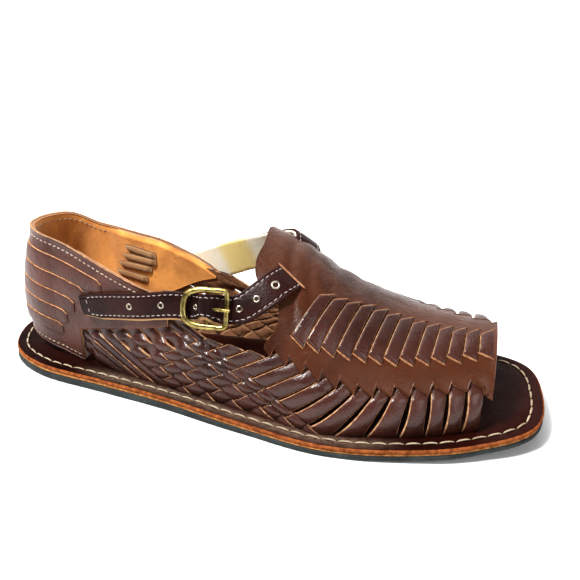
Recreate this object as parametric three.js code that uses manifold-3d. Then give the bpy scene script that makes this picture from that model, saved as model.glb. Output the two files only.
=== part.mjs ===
// Huarache sandal for the right foot, standing empty on its sole.
// Millimetres. +X runs from heel to toe, +Y to the inner side of the foot, +Z up from the floor.
import * as THREE from "three";
import { mergeVertices } from "three/addons/utils/BufferGeometryUtils.js";
import Module from "manifold-3d";

const wasm = await Module();
wasm.setup();

// Driving sizes of the sandal.
const SOLE_LENGTH = 290;
const BALL_WIDTH = 115;
const INSTEP_HEIGHT = 83;
const HEEL_HEIGHT = 70;
const TOE_SPRING = 6.4;
const INSOLE_THICKNESS = 2;
const MIDSOLE_SHARE = 0.3;
const SOLE_STACK_HEEL = 7.6;
const SOLE_STACK_BALL = 5.6;
const STRIP_THICKNESS = 1.8;
const PANEL_THICKNESS = 1.8;
const COUNTER_THICKNESS = 2;
const STRAP_THICKNESS = 2.4;
const STRAP_WIDTH = 15;
const STRAP_NARROW = 12.8;
const STRIP_PITCH = 7.6;
const STRIP_COUNT = 15;
const PANEL_STRIPS = 12;
const DIAGONAL_COUNT = 8;
const RUNG_COUNT = 13;
const CLEARANCE = 0.3;
const GLUE_LINE = 0.2;
const JOIN = 0.6;

// Where the sole changes along its length, as shares of the length.
const FLAT_END = 0.646;
const STACK_HEEL_END = 0.27;
const STACK_BALL_START = 0.68;

// Closed outline of the sole: along = share of the length, across = share of the ball width.
const SOLE_OUTLINE = [
  { along: 0.0, across: 0.04 },
  { along: 0.041, across: -0.203 },
  { along: 0.124, across: -0.328 },
  { along: 0.258, across: -0.378 },
  { along: 0.394, across: -0.422 },
  { along: 0.531, across: -0.486 },
  { along: 0.675, across: -0.533 },
  { along: 0.787, across: -0.49 },
  { along: 0.894, across: -0.397 },
  { along: 0.983, across: -0.23 },
  { along: 1.0, across: 0.053 },
  { along: 0.977, across: 0.306 },
  { along: 0.89, across: 0.437 },
  { along: 0.773, across: 0.467 },
  { along: 0.649, across: 0.423 },
  { along: 0.508, across: 0.346 },
  { along: 0.366, across: 0.302 },
  { along: 0.226, across: 0.307 },
  { along: 0.094, across: 0.309 },
  { along: 0.014, across: 0.214 },
];

// Cross-sections of the foot room: along = share of the length, outer, inner and bulge = shares of the
// ball width, height = share of the instep height, rise = height share of the fullest place,
// shoulder = share of the half width at which the top turns down.
const FOOT_SECTIONS = [
  { along: 0.156, outer: 0.204, inner: 0.191, height: 1.422, bulge: 0.052, rise: 0.34, shoulder: 0.85 },
  { along: 0.249, outer: 0.252, inner: 0.209, height: 1.41, bulge: 0.052, rise: 0.34, shoulder: 0.85 },
  { along: 0.336, outer: 0.3, inner: 0.226, height: 1.349, bulge: 0.052, rise: 0.36, shoulder: 0.8 },
  { along: 0.422, outer: 0.335, inner: 0.243, height: 1.205, bulge: 0.052, rise: 0.42, shoulder: 0.75 },
  { along: 0.501, outer: 0.365, inner: 0.27, height: 1.0, bulge: 0.052, rise: 0.55, shoulder: 0.62 },
  { along: 0.577, outer: 0.4, inner: 0.3, height: 0.892, bulge: 0.043, rise: 0.6, shoulder: 0.58 },
  { along: 0.663, outer: 0.443, inner: 0.339, height: 0.711, bulge: 0.035, rise: 0.6, shoulder: 0.58 },
  { along: 0.749, outer: 0.404, inner: 0.365, height: 0.59, bulge: 0.035, rise: 0.6, shoulder: 0.6 },
  { along: 0.836, outer: 0.339, inner: 0.357, height: 0.524, bulge: 0.035, rise: 0.6, shoulder: 0.6 },
  { along: 0.922, outer: 0.235, inner: 0.313, height: 0.506, bulge: 0.035, rise: 0.6, shoulder: 0.6 },
];

// Back of the heel: height = share of the heel height, reach = share of the ball width behind the pivot.
const HEEL_PROFILE = [
  { height: 0.0, reach: 0.243 },
  { height: 0.09, reach: 0.257 },
  { height: 0.16, reach: 0.272 },
  { height: 0.27, reach: 0.288 },
  { height: 0.4, reach: 0.287 },
  { height: 0.57, reach: 0.272 },
  { height: 0.71, reach: 0.25 },
  { height: 0.84, reach: 0.224 },
  { height: 1.0, reach: 0.193 },
  { height: 1.6, reach: 0.1 },
];

// Edges of the heel counter: along = share of the length on either side of the heel,
// outer and inner = height of the top edge up the wall, as shares of the heel height.
const COUNTER_TOP = [
  { along: -0.02, outer: 1.0, inner: 1.0 },
  { along: 0.08, outer: 0.99, inner: 0.96 },
  { along: 0.14, outer: 0.96, inner: 0.88 },
  { along: 0.19, outer: 0.92, inner: 0.84 },
  { along: 0.235, outer: 0.86, inner: 0.8 },
  { along: 0.28, outer: 0.8, inner: 0.76 },
  { along: 0.33, outer: 0.745, inner: 0.68 },
  { along: 0.37, outer: 0.71, inner: 0.6 },
  { along: 0.395, outer: 0.69, inner: 0.53 },
];
const COUNTER_BOTTOM = [
  { along: -0.02, rise: 0.11 },
  { along: 0.08, rise: 0.105 },
  { along: 0.14, rise: 0.07 },
  { along: 0.18, rise: 0.035 },
  { along: 0.197, rise: 0.02 },
];
// Raised bands round the heel: low and high = shares of the counter's wall, end = share of the length.
const COUNTER_BANDS = [
  { low: 0.72, high: 0.86, end: 0.265 },
  { low: 0.57, high: 0.71, end: 0.225 },
  { low: 0.43, high: 0.56, end: 0.2 },
  { low: 0.29, high: 0.42, end: 0.18 },
  { low: 0.16, high: 0.28, end: 0.165 },
];

// Rear edge of the vamp: girth = share of the way from the sole to the crown, along = share of the length.
const VAMP_REAR = [
  { girth: 0.0, along: 0.572 },
  { girth: 0.35, along: 0.565 },
  { girth: 0.46, along: 0.58 },
  { girth: 0.57, along: 0.574 },
  { girth: 0.65, along: 0.536 },
  { girth: 0.74, along: 0.526 },
  { girth: 0.86, along: 0.528 },
  { girth: 1.0, along: 0.522 },
];

// Path of the ankle strap up each wall: along = share of the length, up = share of the instep height,
// lift = share of the strap thickness away from the foot surface.
const STRAP_OUTER = [
  { along: 0.226, up: 0.42, lift: 1.45 },
  { along: 0.27, up: 0.46, lift: 1.45 },
  { along: 0.34, up: 0.51, lift: 1.45 },
  { along: 0.4, up: 0.555, lift: 1.45 },
  { along: 0.4295, up: 0.565, lift: 1.5 },
  { along: 0.446, up: 0.568, lift: 1.65 },
  { along: 0.4655, up: 0.57, lift: 3.62 },
  { along: 0.485, up: 0.57, lift: 1.65 },
  { along: 0.502, up: 0.57, lift: 1.5 },
  { along: 0.525, up: 0.595, lift: 1.4 },
  { along: 0.55, up: 0.67, lift: 1.6 },
  { along: 0.573, up: 0.77, lift: 1.3 },
  { along: 0.592, up: 0.89, lift: -0.9 },
  { along: 0.605, up: 1.01, lift: -1.2 },
];
const STRAP_INNER = [
  { along: 0.605, up: 1.01, lift: -1.2 },
  { along: 0.592, up: 0.93, lift: -0.9 },
  { along: 0.573, up: 0.85, lift: 1.3 },
  { along: 0.54, up: 0.765, lift: 1.5 },
  { along: 0.48, up: 0.66, lift: 1.4 },
  { along: 0.42, up: 0.575, lift: 1.4 },
  { along: 0.37, up: 0.5, lift: 1.45 },
  { along: 0.335, up: 0.46, lift: 1.45 },
];

// Eyelets along the outer side of the strap, as shares of the sole length.
const EYELET_SPOTS = [0.3286, 0.3885, 0.4545, 0.5197, 0.545, 0.5686];
const EYELET_RADIUS = 2.3;
const EYELET_BORE = 1;
const EYELET_BARREL = 1.55;
const EYELET_RIM = 0.6;

// Buckle with a rounded frame and a centre bar.
const BUCKLE_WIRE = 1.3;
const BUCKLE_LENGTH = 23.2;
const BUCKLE_ROOM = 6.2;
const BUCKLE_HEIGHT = STRAP_NARROW + BUCKLE_ROOM;
const BUCKLE_ALONG = 0.466;
const CENTRE_BAR_DROP = 3.5;
const PRONG_RADIUS = 0.9;
const WIRE_SIDES = 6;

// Short strap that holds the buckle: along and up as for the ankle strap, lift in its own thickness.
const HOLDER_WIDTH = 8;
const HOLDER_THICKNESS = 1.6;
const HOLDER_START = [
  { along: 0.38, up: 0.55, lift: -1.25 },
  { along: 0.402, up: 0.552, lift: -1.2 },
  { along: 0.428, up: 0.555, lift: -0.5 },
];

const LEATHER = { vamp: 0x6b3320, strip: 0x4a2a22, strap: 0x2c1c19, insole: 0x3a1512, edge: 0xb5713c };

// Small maths.
const lerp = (a, b, t) => a + (b - a) * t;
const clamp = (t, a, b) => Math.min(b, Math.max(a, t));
const ease = (t) => t * t * (3 - 2 * t);

// Value of a table's column at a key, smooth between the rows.
function lookUp(rows, key, column, at) {
  let k = 0;
  while (k < rows.length - 2 && at > rows[k + 1][key]) {
    k += 1;
  }
  const slope = (i) => {
    const a = rows[Math.max(0, i - 1)];
    const b = rows[Math.min(rows.length - 1, i + 1)];
    return (b[column] - a[column]) / (b[key] - a[key]);
  };
  const a = rows[k];
  const b = rows[k + 1];
  const span = b[key] - a[key];
  const t = clamp((at - a[key]) / span, 0, 1);
  const t2 = t * t;
  const t3 = t2 * t;
  return (2 * t3 - 3 * t2 + 1) * a[column] + (t3 - 2 * t2 + t) * span * slope(k)
    + (3 * t2 - 2 * t3) * b[column] + (t3 - t2) * span * slope(k + 1);
}

// Sole.
const soleCurve = new THREE.CatmullRomCurve3(
  SOLE_OUTLINE.map((row) => new THREE.Vector3(row.along * SOLE_LENGTH, row.across * BALL_WIDTH, 0)),
  true, "centripetal",
);
const outlinePoints = soleCurve.getPoints(720).slice(0, 720);
const xOf = (p) => p.x;
const heelX = Math.min(...outlinePoints.map(xOf));
const toeX = Math.max(...outlinePoints.map(xOf));

// Edge of the sole on one side (-1 outer, +1 inner) at a length along the shoe.
function soleEdge(side, x) {
  let best = 0;
  let found = false;
  for (let k = 0; k < outlinePoints.length; k += 1) {
    const a = outlinePoints[k];
    const b = outlinePoints[(k + 1) % outlinePoints.length];
    if ((a.x - x) * (b.x - x) <= 0 && a.x !== b.x) {
      const y = lerp(a.y, b.y, (x - a.x) / (b.x - a.x));
      if (!found || y * side > best * side) {
        best = y;
        found = true;
      }
    }
  }
  return best;
}

// Underside of the sole and height of the stack above it.
const springAt = (x) => {
  const past = Math.max(0, x / SOLE_LENGTH - FLAT_END) / (1 - FLAT_END);
  return TOE_SPRING * past * past;
};
const stackAt = (x) => {
  const t = clamp((x / SOLE_LENGTH - STACK_HEEL_END) / (STACK_BALL_START - STACK_HEEL_END), 0, 1);
  return lerp(SOLE_STACK_HEEL, SOLE_STACK_BALL, ease(t));
};
const insoleTop = (x) => springAt(x) + stackAt(x);
const midsoleTop = (x) => insoleTop(x) - INSOLE_THICKNESS;
const outsoleTop = (x) => springAt(x) + (stackAt(x) - INSOLE_THICKNESS) * (1 - MIDSOLE_SHARE);

// Layer of the sole between two height functions, its edge drawn in by a margin.
function soleLayer(bottomAt, topAt, margin) {
  const stations = 40;
  const positions = [];
  const middle = (heelX + toeX) / 2;
  const reach = (toeX - heelX) / 2;
  for (let i = 0; i <= stations; i += 1) {
    const turn = Math.PI * clamp(i / stations, 0.012, 0.988);
    const share = Math.cos(turn);
    const x = middle - (reach - margin) * share;
    const onEdge = middle - reach * share;
    const low = soleEdge(-1, onEdge);
    const high = soleEdge(1, onEdge);
    const centre = (low + high) / 2;
    const half = Math.max((high - low) / 2 - margin, 1);
    for (const [y, z] of [[centre - half, bottomAt(x)], [centre + half, bottomAt(x)],
      [centre + half, topAt(x)], [centre - half, topAt(x)]]) {
      positions.push(x, y, z);
    }
  }
  return boxTube(positions, stations);
}

// Closed tube through rings of four corners.
function boxTube(positions, steps) {
  const index = [];
  for (let i = 0; i < steps; i += 1) {
    for (let k = 0; k < 4; k += 1) {
      const a = 4 * i + k;
      const b = 4 * i + ((k + 1) % 4);
      index.push(a, b + 4, b, a, a + 4, b + 4);
    }
  }
  const last = 4 * steps;
  index.push(0, 1, 2, 0, 2, 3, last, last + 2, last + 1, last, last + 3, last + 2);
  return facingOut(toGeometry(positions, index));
}

function toGeometry(positions, index) {
  const geometry = new THREE.BufferGeometry();
  geometry.setAttribute("position", new THREE.Float32BufferAttribute(positions, 3));
  geometry.setIndex(index);
  return geometry;
}

// Foot surface. The upper lies on one surface. A place on it is (s, v): s runs along the outer side toward the
// heel, round the heel and forward along the inner side; v is the length up the wall from the insole.
const HEEL_PIVOT = FOOT_SECTIONS[0].along * SOLE_LENGTH;
const HEEL_TURN = 32;
const HEEL_END = HEEL_PIVOT - HEEL_TURN * Math.PI;
const CROWN_SIDE = 4;
const OPEN_END = 0.336;
const CLOSED_START = 0.501;
const ROOM_SHARE = 0.62;
const SECTION_STEPS = 40;
const sectionCache = new Map();

const wallFoot = (x) => insoleTop(x) + CLEARANCE;

// Half cross-section at x on one side: points (y outward, z) with the length up the wall.
function sideSection(side, x) {
  const name = `${side}:${x.toFixed(3)}`;
  if (sectionCache.has(name)) {
    return sectionCache.get(name);
  }
  const along = x / SOLE_LENGTH;
  const value = (column) => lookUp(FOOT_SECTIONS, "along", column, along);
  const base = value(side < 0 ? "outer" : "inner") * BALL_WIDTH;
  const height = value("height") * INSTEP_HEIGHT;
  const closed = ease(clamp((along - OPEN_END) / (CLOSED_START - OPEN_END), 0, 1));
  const top = lerp(base * ROOM_SHARE, side * CROWN_SIDE, closed);
  const foot = wallFoot(x);
  const shoulderZ = lerp(lerp(foot, height, 0.72), height, closed);
  const controls = [
    [base, foot],
    [base + value("bulge") * BALL_WIDTH, lerp(foot, height, value("rise"))],
    [lerp(top, base, value("shoulder")), shoulderZ],
    [top, height],
  ];
  const section = measured(SECTION_STEPS, (t) => {
    const w = [(1 - t) ** 3, 3 * (1 - t) ** 2 * t, 3 * (1 - t) * t * t, t ** 3];
    return [0, 1].map((k) => w.reduce((sum, weight, i) => sum + weight * controls[i][k], 0));
  });
  sectionCache.set(name, section);
  return section;
}

// Half cross-section round the heel at an angle from the outer side.
function heelSection(turn) {
  const name = `heel:${turn.toFixed(4)}`;
  if (sectionCache.has(name)) {
    return sectionCache.get(name);
  }
  const outer = sideSection(-1, HEEL_PIVOT);
  const inner = sideSection(1, HEEL_PIVOT);
  const mix = (1 - Math.cos(turn)) / 2;
  const foot = wallFoot(HEEL_PIVOT);
  const section = measured(SECTION_STEPS, (t) => {
    const k = Math.round(t * SECTION_STEPS);
    const z = lerp(outer.points[k][1], inner.points[k][1], mix);
    const side = lerp(outer.points[k][0], inner.points[k][0], mix);
    const back = BALL_WIDTH * lookUp(HEEL_PROFILE, "height", "reach", (z - foot) / HEEL_HEIGHT);
    const power = 2.1;
    const sum = (Math.abs(Math.cos(turn)) / side) ** power + (Math.sin(turn) / back) ** power;
    return [sum ** (-1 / power), z];
  });
  sectionCache.set(name, section);
  return section;
}

function measured(steps, pointAt) {
  const points = [];
  const lengths = [0];
  for (let k = 0; k <= steps; k += 1) {
    points.push(pointAt(k / steps));
    if (k > 0) {
      const [a, b] = [points[k - 1], points[k]];
      lengths.push(lengths[k - 1] + Math.hypot(b[0] - a[0], b[1] - a[1]));
    }
  }
  return { points, lengths, total: lengths[steps] };
}

function alongSection(section, v) {
  const { points, lengths } = section;
  let k = 0;
  while (k < lengths.length - 2 && v > lengths[k + 1]) {
    k += 1;
  }
  const t = (v - lengths[k]) / (lengths[k + 1] - lengths[k]);
  return [lerp(points[k][0], points[k + 1][0], t), lerp(points[k][1], points[k + 1][1], t)];
}

// Length from the insole up to the crown on one side.
const girth = (side, x) => sideSection(side, x).total;

// Point of the foot surface. Past the crown it goes down the other side.
function surfacePoint(s, v) {
  if (s < HEEL_PIVOT && s > HEEL_END) {
    const turn = (HEEL_PIVOT - s) / HEEL_TURN;
    const [r, z] = alongSection(heelSection(turn), v);
    return new THREE.Vector3(HEEL_PIVOT - r * Math.sin(turn), -r * Math.cos(turn), z);
  }
  const side = s >= HEEL_PIVOT ? -1 : 1;
  const x = side < 0 ? s : HEEL_PIVOT + HEEL_END - s;
  const total = girth(side, x);
  if (v > total && x / SOLE_LENGTH > OPEN_END) {
    const [y, z] = alongSection(sideSection(-side, x), total + girth(-side, x) - v);
    return new THREE.Vector3(x, -side * y, z);
  }
  const [y, z] = alongSection(sideSection(side, x), v);
  return new THREE.Vector3(x, side * y, z);
}

// s of a length x on one side of the foot.
const sideways = (side, x) => (side < 0 ? x : HEEL_PIVOT + HEEL_END - x);

function surfaceFrame(s, v) {
  const step = 0.8;
  const point = surfacePoint(s, v);
  const low = Math.max(v - step, 0);
  const up = surfacePoint(s, low + 2 * step).sub(surfacePoint(s, low));
  const forward = surfacePoint(s + step, v).sub(surfacePoint(s - step, v));
  const normal = forward.clone().cross(up).normalize();
  return { point, normal };
}

// Solids on the surface.
// Closed shell over a grid: place(i, j) gives { s, v, lift }, lift being its middle above the surface.
function shell(columns, rows, thickness, place) {
  const positions = [];
  const index = [];
  for (const face of [1, -1]) {
    for (let i = 0; i <= columns; i += 1) {
      for (let j = 0; j <= rows; j += 1) {
        const { s, v, lift } = place(i, j);
        const { point, normal } = surfaceFrame(s, v);
        point.addScaledVector(normal, lift + (face * thickness) / 2);
        positions.push(point.x, point.y, point.z);
      }
    }
  }
  const layer = (columns + 1) * (rows + 1);
  const at = (i, j) => i * (rows + 1) + j;
  for (let i = 0; i < columns; i += 1) {
    for (let j = 0; j < rows; j += 1) {
      const [a, b, c, d] = [at(i, j), at(i + 1, j), at(i + 1, j + 1), at(i, j + 1)];
      index.push(a, b, c, a, c, d);
      index.push(a + layer, c + layer, b + layer, a + layer, d + layer, c + layer);
    }
  }
  const rim = [];
  for (let i = 0; i < columns; i += 1) {
    rim.push(at(i, 0));
  }
  for (let j = 0; j < rows; j += 1) {
    rim.push(at(columns, j));
  }
  for (let i = columns; i > 0; i -= 1) {
    rim.push(at(i, rows));
  }
  for (let j = rows; j > 0; j -= 1) {
    rim.push(at(0, j));
  }
  rim.forEach((a, k) => {
    const b = rim[(k + 1) % rim.length];
    index.push(a, a + layer, b + layer, a, b + layer, b);
  });
  return facingOut(toGeometry(positions, index));
}

// Geometry with its faces outward, whichever way its grid ran.
function facingOut(geometry) {
  const { array } = geometry.attributes.position;
  const order = geometry.index.array;
  const at = (k) => new THREE.Vector3().fromArray(array, 3 * order[k]);
  let volume = 0;
  for (let k = 0; k < order.length; k += 3) {
    volume += at(k).dot(at(k + 1).cross(at(k + 2)));
  }
  if (volume < 0) {
    for (let k = 0; k < order.length; k += 3) {
      [order[k + 1], order[k + 2]] = [order[k + 2], order[k + 1]];
    }
  }
  return geometry;
}

const WELD = 1e-3;

function toSolid(geometry) {
  const bare = geometry.clone();
  bare.deleteAttribute("normal");
  bare.deleteAttribute("uv");
  const merged = mergeVertices(bare, WELD);
  return new wasm.Manifold(new wasm.Mesh({
    numProp: 3,
    vertProperties: new Float32Array(merged.attributes.position.array),
    triVerts: new Uint32Array(merged.index.array),
  }));
}

function fromSolid(solid) {
  const mesh = solid.getMesh();
  return toGeometry(Array.from(mesh.vertProperties), Array.from(mesh.triVerts));
}

// Geometry without the small shells that close in on themselves inside it, where strips press together.
const SMALLEST_SHELL = 6;
function pocketsFilled(geometry) {
  const order = Array.from(geometry.index.array);
  const { array } = geometry.attributes.position;
  const parent = Array.from({ length: array.length / 3 }, (_, k) => k);
  const root = (k) => {
    let at = k;
    while (parent[at] !== at) {
      parent[at] = parent[parent[at]];
      at = parent[at];
    }
    return at;
  };
  for (let k = 0; k < order.length; k += 3) {
    parent[root(order[k])] = root(order[k + 1]);
    parent[root(order[k + 1])] = root(order[k + 2]);
  }
  const volumes = new Map();
  const corner = (k) => new THREE.Vector3().fromArray(array, 3 * order[k]);
  for (let k = 0; k < order.length; k += 3) {
    const shellRoot = root(order[k]);
    const part = corner(k).dot(corner(k + 1).cross(corner(k + 2)));
    volumes.set(shellRoot, (volumes.get(shellRoot) ?? 0) + part);
  }
  const kept = [];
  for (let k = 0; k < order.length; k += 3) {
    if (volumes.get(root(order[k])) > SMALLEST_SHELL) {
      kept.push(order[k], order[k + 1], order[k + 2]);
    }
  }
  return mergeVertices(toGeometry(Array.from(array), kept).toNonIndexed(), 1e-6);
}

const joined = (geometries) => geometries.map(toSolid).reduce((sum, solid) => sum.add(solid));

// Vamp panel and woven strips.
const PANEL_LIFT = 0.6;
const WEAVE_LIFT = 0.6;
const SLIT_FRONT = 0.8855 * SOLE_LENGTH;
const LEAN_START = 3;
const LEAN_STEP = 6.3;
const OUTER_SLIT = 21;
const INNER_SLIT = 48;
const SLIT_CLIMB = 2.1;
const CLIMB_START = 6;
const SLIT_DEPTH = 5;
const TUCK = 7;
const VAMP_FRONT = 0.909 * SOLE_LENGTH;

const slitX = (i) => SLIT_FRONT - STRIP_PITCH * i;
const slitRise = (side, i) => (side < 0 ? OUTER_SLIT : INNER_SLIT)
  + SLIT_CLIMB * Math.max(0, i - CLIMB_START) * (side < 0 ? 1 : -0.5);
const footX = (i) => slitX(i) - LEAN_STEP * Math.max(0, i - LEAN_START);

// Place on strip i of the weave at t = 0 in its slit and t = 1 at the insole.
function stripPlace(side, i, t) {
  const v = slitRise(side, i) * (1 - t);
  const bow = side < 0 ? t : 1 - Math.min(1, v / OUTER_SLIT) ** 1.3;
  return { x: lerp(slitX(i), footX(i), bow), v };
}

// Diagonal j of the weave, from under the heel counter to the insole.
const DIAGONAL_START = 0.205 * SOLE_LENGTH;
const DIAGONAL_PITCH = 9.1;
const DIAGONAL_RISE = 20;
const DIAGONAL_CLIMB = 2.4;
const DIAGONAL_FOOT = 94.3;
const DIAGONAL_FOOT_PITCH = 8.5;
const DIAGONAL_SPREAD = 0.72;
// The last diagonals turn down toward the toe.
const BEND_START = 6;
const BEND_PITCH = 1.9;
const BEND_FALL = 4.4;
const BEND_FOOT = 11;

const diagonalTop = (j) => {
  const past = Math.max(0, j - BEND_START);
  return {
    x: DIAGONAL_START + DIAGONAL_PITCH * j + BEND_PITCH * past,
    v: DIAGONAL_RISE + DIAGONAL_CLIMB * j - BEND_FALL * past,
  };
};
const diagonalFoot = (j) => {
  const past = Math.max(0, j - BEND_START);
  const near = Math.min(j, BEND_START);
  return DIAGONAL_FOOT + DIAGONAL_FOOT_PITCH * near + DIAGONAL_SPREAD * near * near + BEND_FOOT * past;
};

function diagonalPlace(j, t) {
  const top = diagonalTop(j);
  return { x: lerp(top.x, diagonalFoot(j), t), v: top.v * (1 - t) };
}

// Number of the strip or diagonal that passes through a place, found by halving.
function numberAt(family, low, high, x, v) {
  let [a, b] = [low, high];
  for (let k = 0; k < 24; k += 1) {
    const middle = (a + b) / 2;
    const rise = family(middle, 0).v;
    const there = family(middle, clamp(1 - v / rise, -0.5, 1)).x;
    const ahead = (there - x) * Math.sign(family(high, 1).x - family(low, 1).x);
    if (ahead > 0) {
      b = middle;
    } else {
      a = middle;
    }
  }
  return (a + b) / 2;
}

// Up and down of a strip where diagonals cross it, and of a diagonal between strips.
function weaveOf(side, x, v) {
  const i = numberAt((n, t) => stripPlace(side, n, t), -1, STRIP_COUNT + 2, x, v);
  const j = numberAt(diagonalPlace, -1, DIAGONAL_COUNT + 1, x, v);
  return { i, j };
}

function sideStrip(side, i) {
  const start = i < PANEL_STRIPS ? -TUCK / slitRise(side, i) : -0.01;
  const stops = [start, ...(i < 6 ? [0, 0.25, 1] : [0, 0.25, 0.5, 0.75, 1])];
  return shell(stops.length - 1, 1, STRIP_THICKNESS, (a, b) => {
    const number = i + 0.45 * (1 - 2 * b);
    const t = stops[a];
    const { x, v } = stripPlace(side, number, t);
    const { j } = weaveOf(side, x, v);
    const inWeave = ease(clamp((DIAGONAL_COUNT + 0.6 - j) / 0.8, 0, 1));
    const outOfSlit = ease(clamp((t + 0.05) / 0.2, 0, 1));
    const sign = i % 2 === 0 ? 1 : -1;
    const wave = sign * Math.sin(Math.PI * j) * WEAVE_LIFT;
    const lift = lerp(-WEAVE_LIFT, lerp(0.2, wave, inWeave), outOfSlit);
    return { s: sideways(side, x), v, lift };
  });
}

// Diagonals -2 and -1 come from under the upright front edge of the counter; the first of them is wide.
const FIRST_DIAGONAL = -2;
const HEEL_PATCH = { low: -2.9, high: -0.9 };
const PATCH_TUCK = 4;
function diagonalStrip(side, j) {
  const stops = j < 0 ? [0, 0.15, 0.5, 1] : [-0.2, 0.01, 0.25, 0.5, 0.75, 1];
  return shell(stops.length - 1, 1, STRIP_THICKNESS, (a, b) => {
    const number = j === FIRST_DIAGONAL
      ? lerp(HEEL_PATCH.low, HEEL_PATCH.high, b)
      : j + 0.5 + 0.45 * (2 * b - 1);
    const rear = diagonalTop(number).x;
    const start = j < 0 ? (COUNTER_STEP - PATCH_TUCK - rear) / (diagonalFoot(number) - rear) : 0;
    const t = lerp(start, 1, stops[a]);
    const { x, v } = diagonalPlace(number, t);
    const { i } = weaveOf(side, x, v);
    const sign = j % 2 === 0 ? 1 : -1;
    const wave = -sign * Math.cos(Math.PI * i) * WEAVE_LIFT;
    const free = j < 0 ? (x - COUNTER_STEP - 3) / 6 : (t - 0.02) / 0.2;
    const out = ease(clamp(free, 0, 1));
    const gap = j < 0 ? 2 * CLEARANCE : CLEARANCE;
    const under = COUNTER_LIFT - (COUNTER_THICKNESS + STRIP_THICKNESS) / 2 - gap;
    return { s: sideways(side, x), v, lift: lerp(under, wave, out) };
  });
}

// Vamp panel: half of it, from the slits up over the crown. Its lower edge steps at every slit.
function vampHalf(side) {
  const stops = [0];
  const rear = VAMP_REAR[0].along * SOLE_LENGTH;
  for (let i = 11; i >= 0; i -= 1) {
    const x = slitX(i) - 0.46 * STRIP_PITCH;
    for (const part of [0.02, 0.9]) {
      const share = (x + part * STRIP_PITCH - rear) / (VAMP_FRONT - rear);
      if (share > 0.01 && share < 0.99) {
        stops.push(share);
      }
    }
  }
  stops.push(1);
  const rows = 5;
  return shell(stops.length - 1, rows, PANEL_THICKNESS, (a, b) => {
    const up = b / rows;
    const edge = lerp(rear, VAMP_FRONT, stops[a]);
    const i = (SLIT_FRONT - edge) / STRIP_PITCH;
    const inStep = (edge - slitX(Math.round(i))) / STRIP_PITCH + 0.5;
    const low = slitRise(side, Math.max(i, 0)) + SLIT_DEPTH * (0.5 - clamp(inStep, 0, 1));
    const share = low / girth(side, edge);
    const level = lerp(share, 1, up);
    const back = lookUp(VAMP_REAR, "girth", "along", level) * SOLE_LENGTH;
    const x = lerp(back, VAMP_FRONT, stops[a]);
    const pastCrown = b === rows ? JOIN : 0;
    return { s: sideways(side, x), v: level * girth(side, x) + pastCrown, lift: PANEL_LIFT };
  });
}

// Raised rung of the ladder on the vamp, longer along its front edge.
const RUNG_FRONT = 0.893 * SOLE_LENGTH;
const RUNG_TOOTH = 4;
const RUNG_LOW = 31;
const RUNG_HIGH = 51;
const RUNG_LOW_PITCH = 6.7;
const RUNG_HIGH_PITCH = 6.1;
const RUNG_LOW_CLIMB = 0.9;
const RUNG_HIGH_CLIMB = 1.85;
const RUNG_HALF = 3.2;
function rung(k) {
  const lowX = RUNG_FRONT - RUNG_LOW_PITCH * k;
  const highX = RUNG_FRONT - RUNG_HIGH_PITCH * k;
  const low = RUNG_LOW + RUNG_LOW_CLIMB * Math.max(0, k - 6);
  const high = RUNG_HIGH + RUNG_HIGH_CLIMB * Math.min(k, 9);
  const steps = 2;
  return shell(steps, 1, STRIP_THICKNESS, (a, b) => {
    const t = a / steps;
    const edge = b === 0 ? -RUNG_HALF : RUNG_HALF;
    const start = low + (b === 0 ? RUNG_TOOTH : 0);
    const end = high - (b === 0 ? RUNG_TOOTH : 0);
    const x = lerp(lowX, highX, t) + edge;
    const lift = PANEL_LIFT + STRIP_THICKNESS - JOIN + (b === 0 ? -0.2 : 0.3);
    return { s: sideways(-1, x), v: lerp(start, end, t), lift };
  });
}

// Heel counter.
const COUNTER_LIFT = 0.9;
const COUNTER_TIP = 0.395 * SOLE_LENGTH;
const COUNTER_STEP = 0.205 * SOLE_LENGTH;
const BAND_THICKNESS = 0.9;
const BAND_RISE = 0.4;

// Length along the side that belongs to s; behind the pivot it runs on round the heel.
const runOf = (s) => (s > (HEEL_PIVOT + HEEL_END) / 2 ? s : HEEL_PIVOT + HEEL_END - s);
const sideOf = (s) => (s > (HEEL_PIVOT + HEEL_END) / 2 ? "outer" : "inner");

function counterTop(s) {
  return HEEL_HEIGHT * lookUp(COUNTER_TOP, "along", sideOf(s), runOf(s) / SOLE_LENGTH);
}

function counterBottom(s) {
  const run = runOf(s);
  if (run > COUNTER_STEP) {
    const j = (run - DIAGONAL_START) / DIAGONAL_PITCH;
    return Math.min(diagonalTop(Math.min(j, BEND_START)).v, counterTop(s) - 1);
  }
  return HEEL_HEIGHT * lookUp(COUNTER_BOTTOM, "along", "rise", run / SOLE_LENGTH);
}

// Places round the heel between two ends at the same length on both sides, doubled where the counter steps.
function counterStops(end) {
  const stops = [end, 0.86 * end, 0.72 * end, 0.59 * end];
  for (const extra of [COUNTER_STEP + 0.4, COUNTER_STEP - 0.4]) {
    if (extra < end && end > COUNTER_STEP + 1) {
      stops.push(extra);
    }
  }
  stops.sort((a, b) => b - a);
  const kept = stops.filter((run) => run > HEEL_PIVOT);
  const turns = [];
  for (let k = 0; k <= 12; k += 1) {
    turns.push(lerp(HEEL_PIVOT, HEEL_END, k / 12));
  }
  const far = kept.map((run) => HEEL_PIVOT + HEEL_END - run).reverse();
  return [...kept, ...turns, ...far];
}

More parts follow.
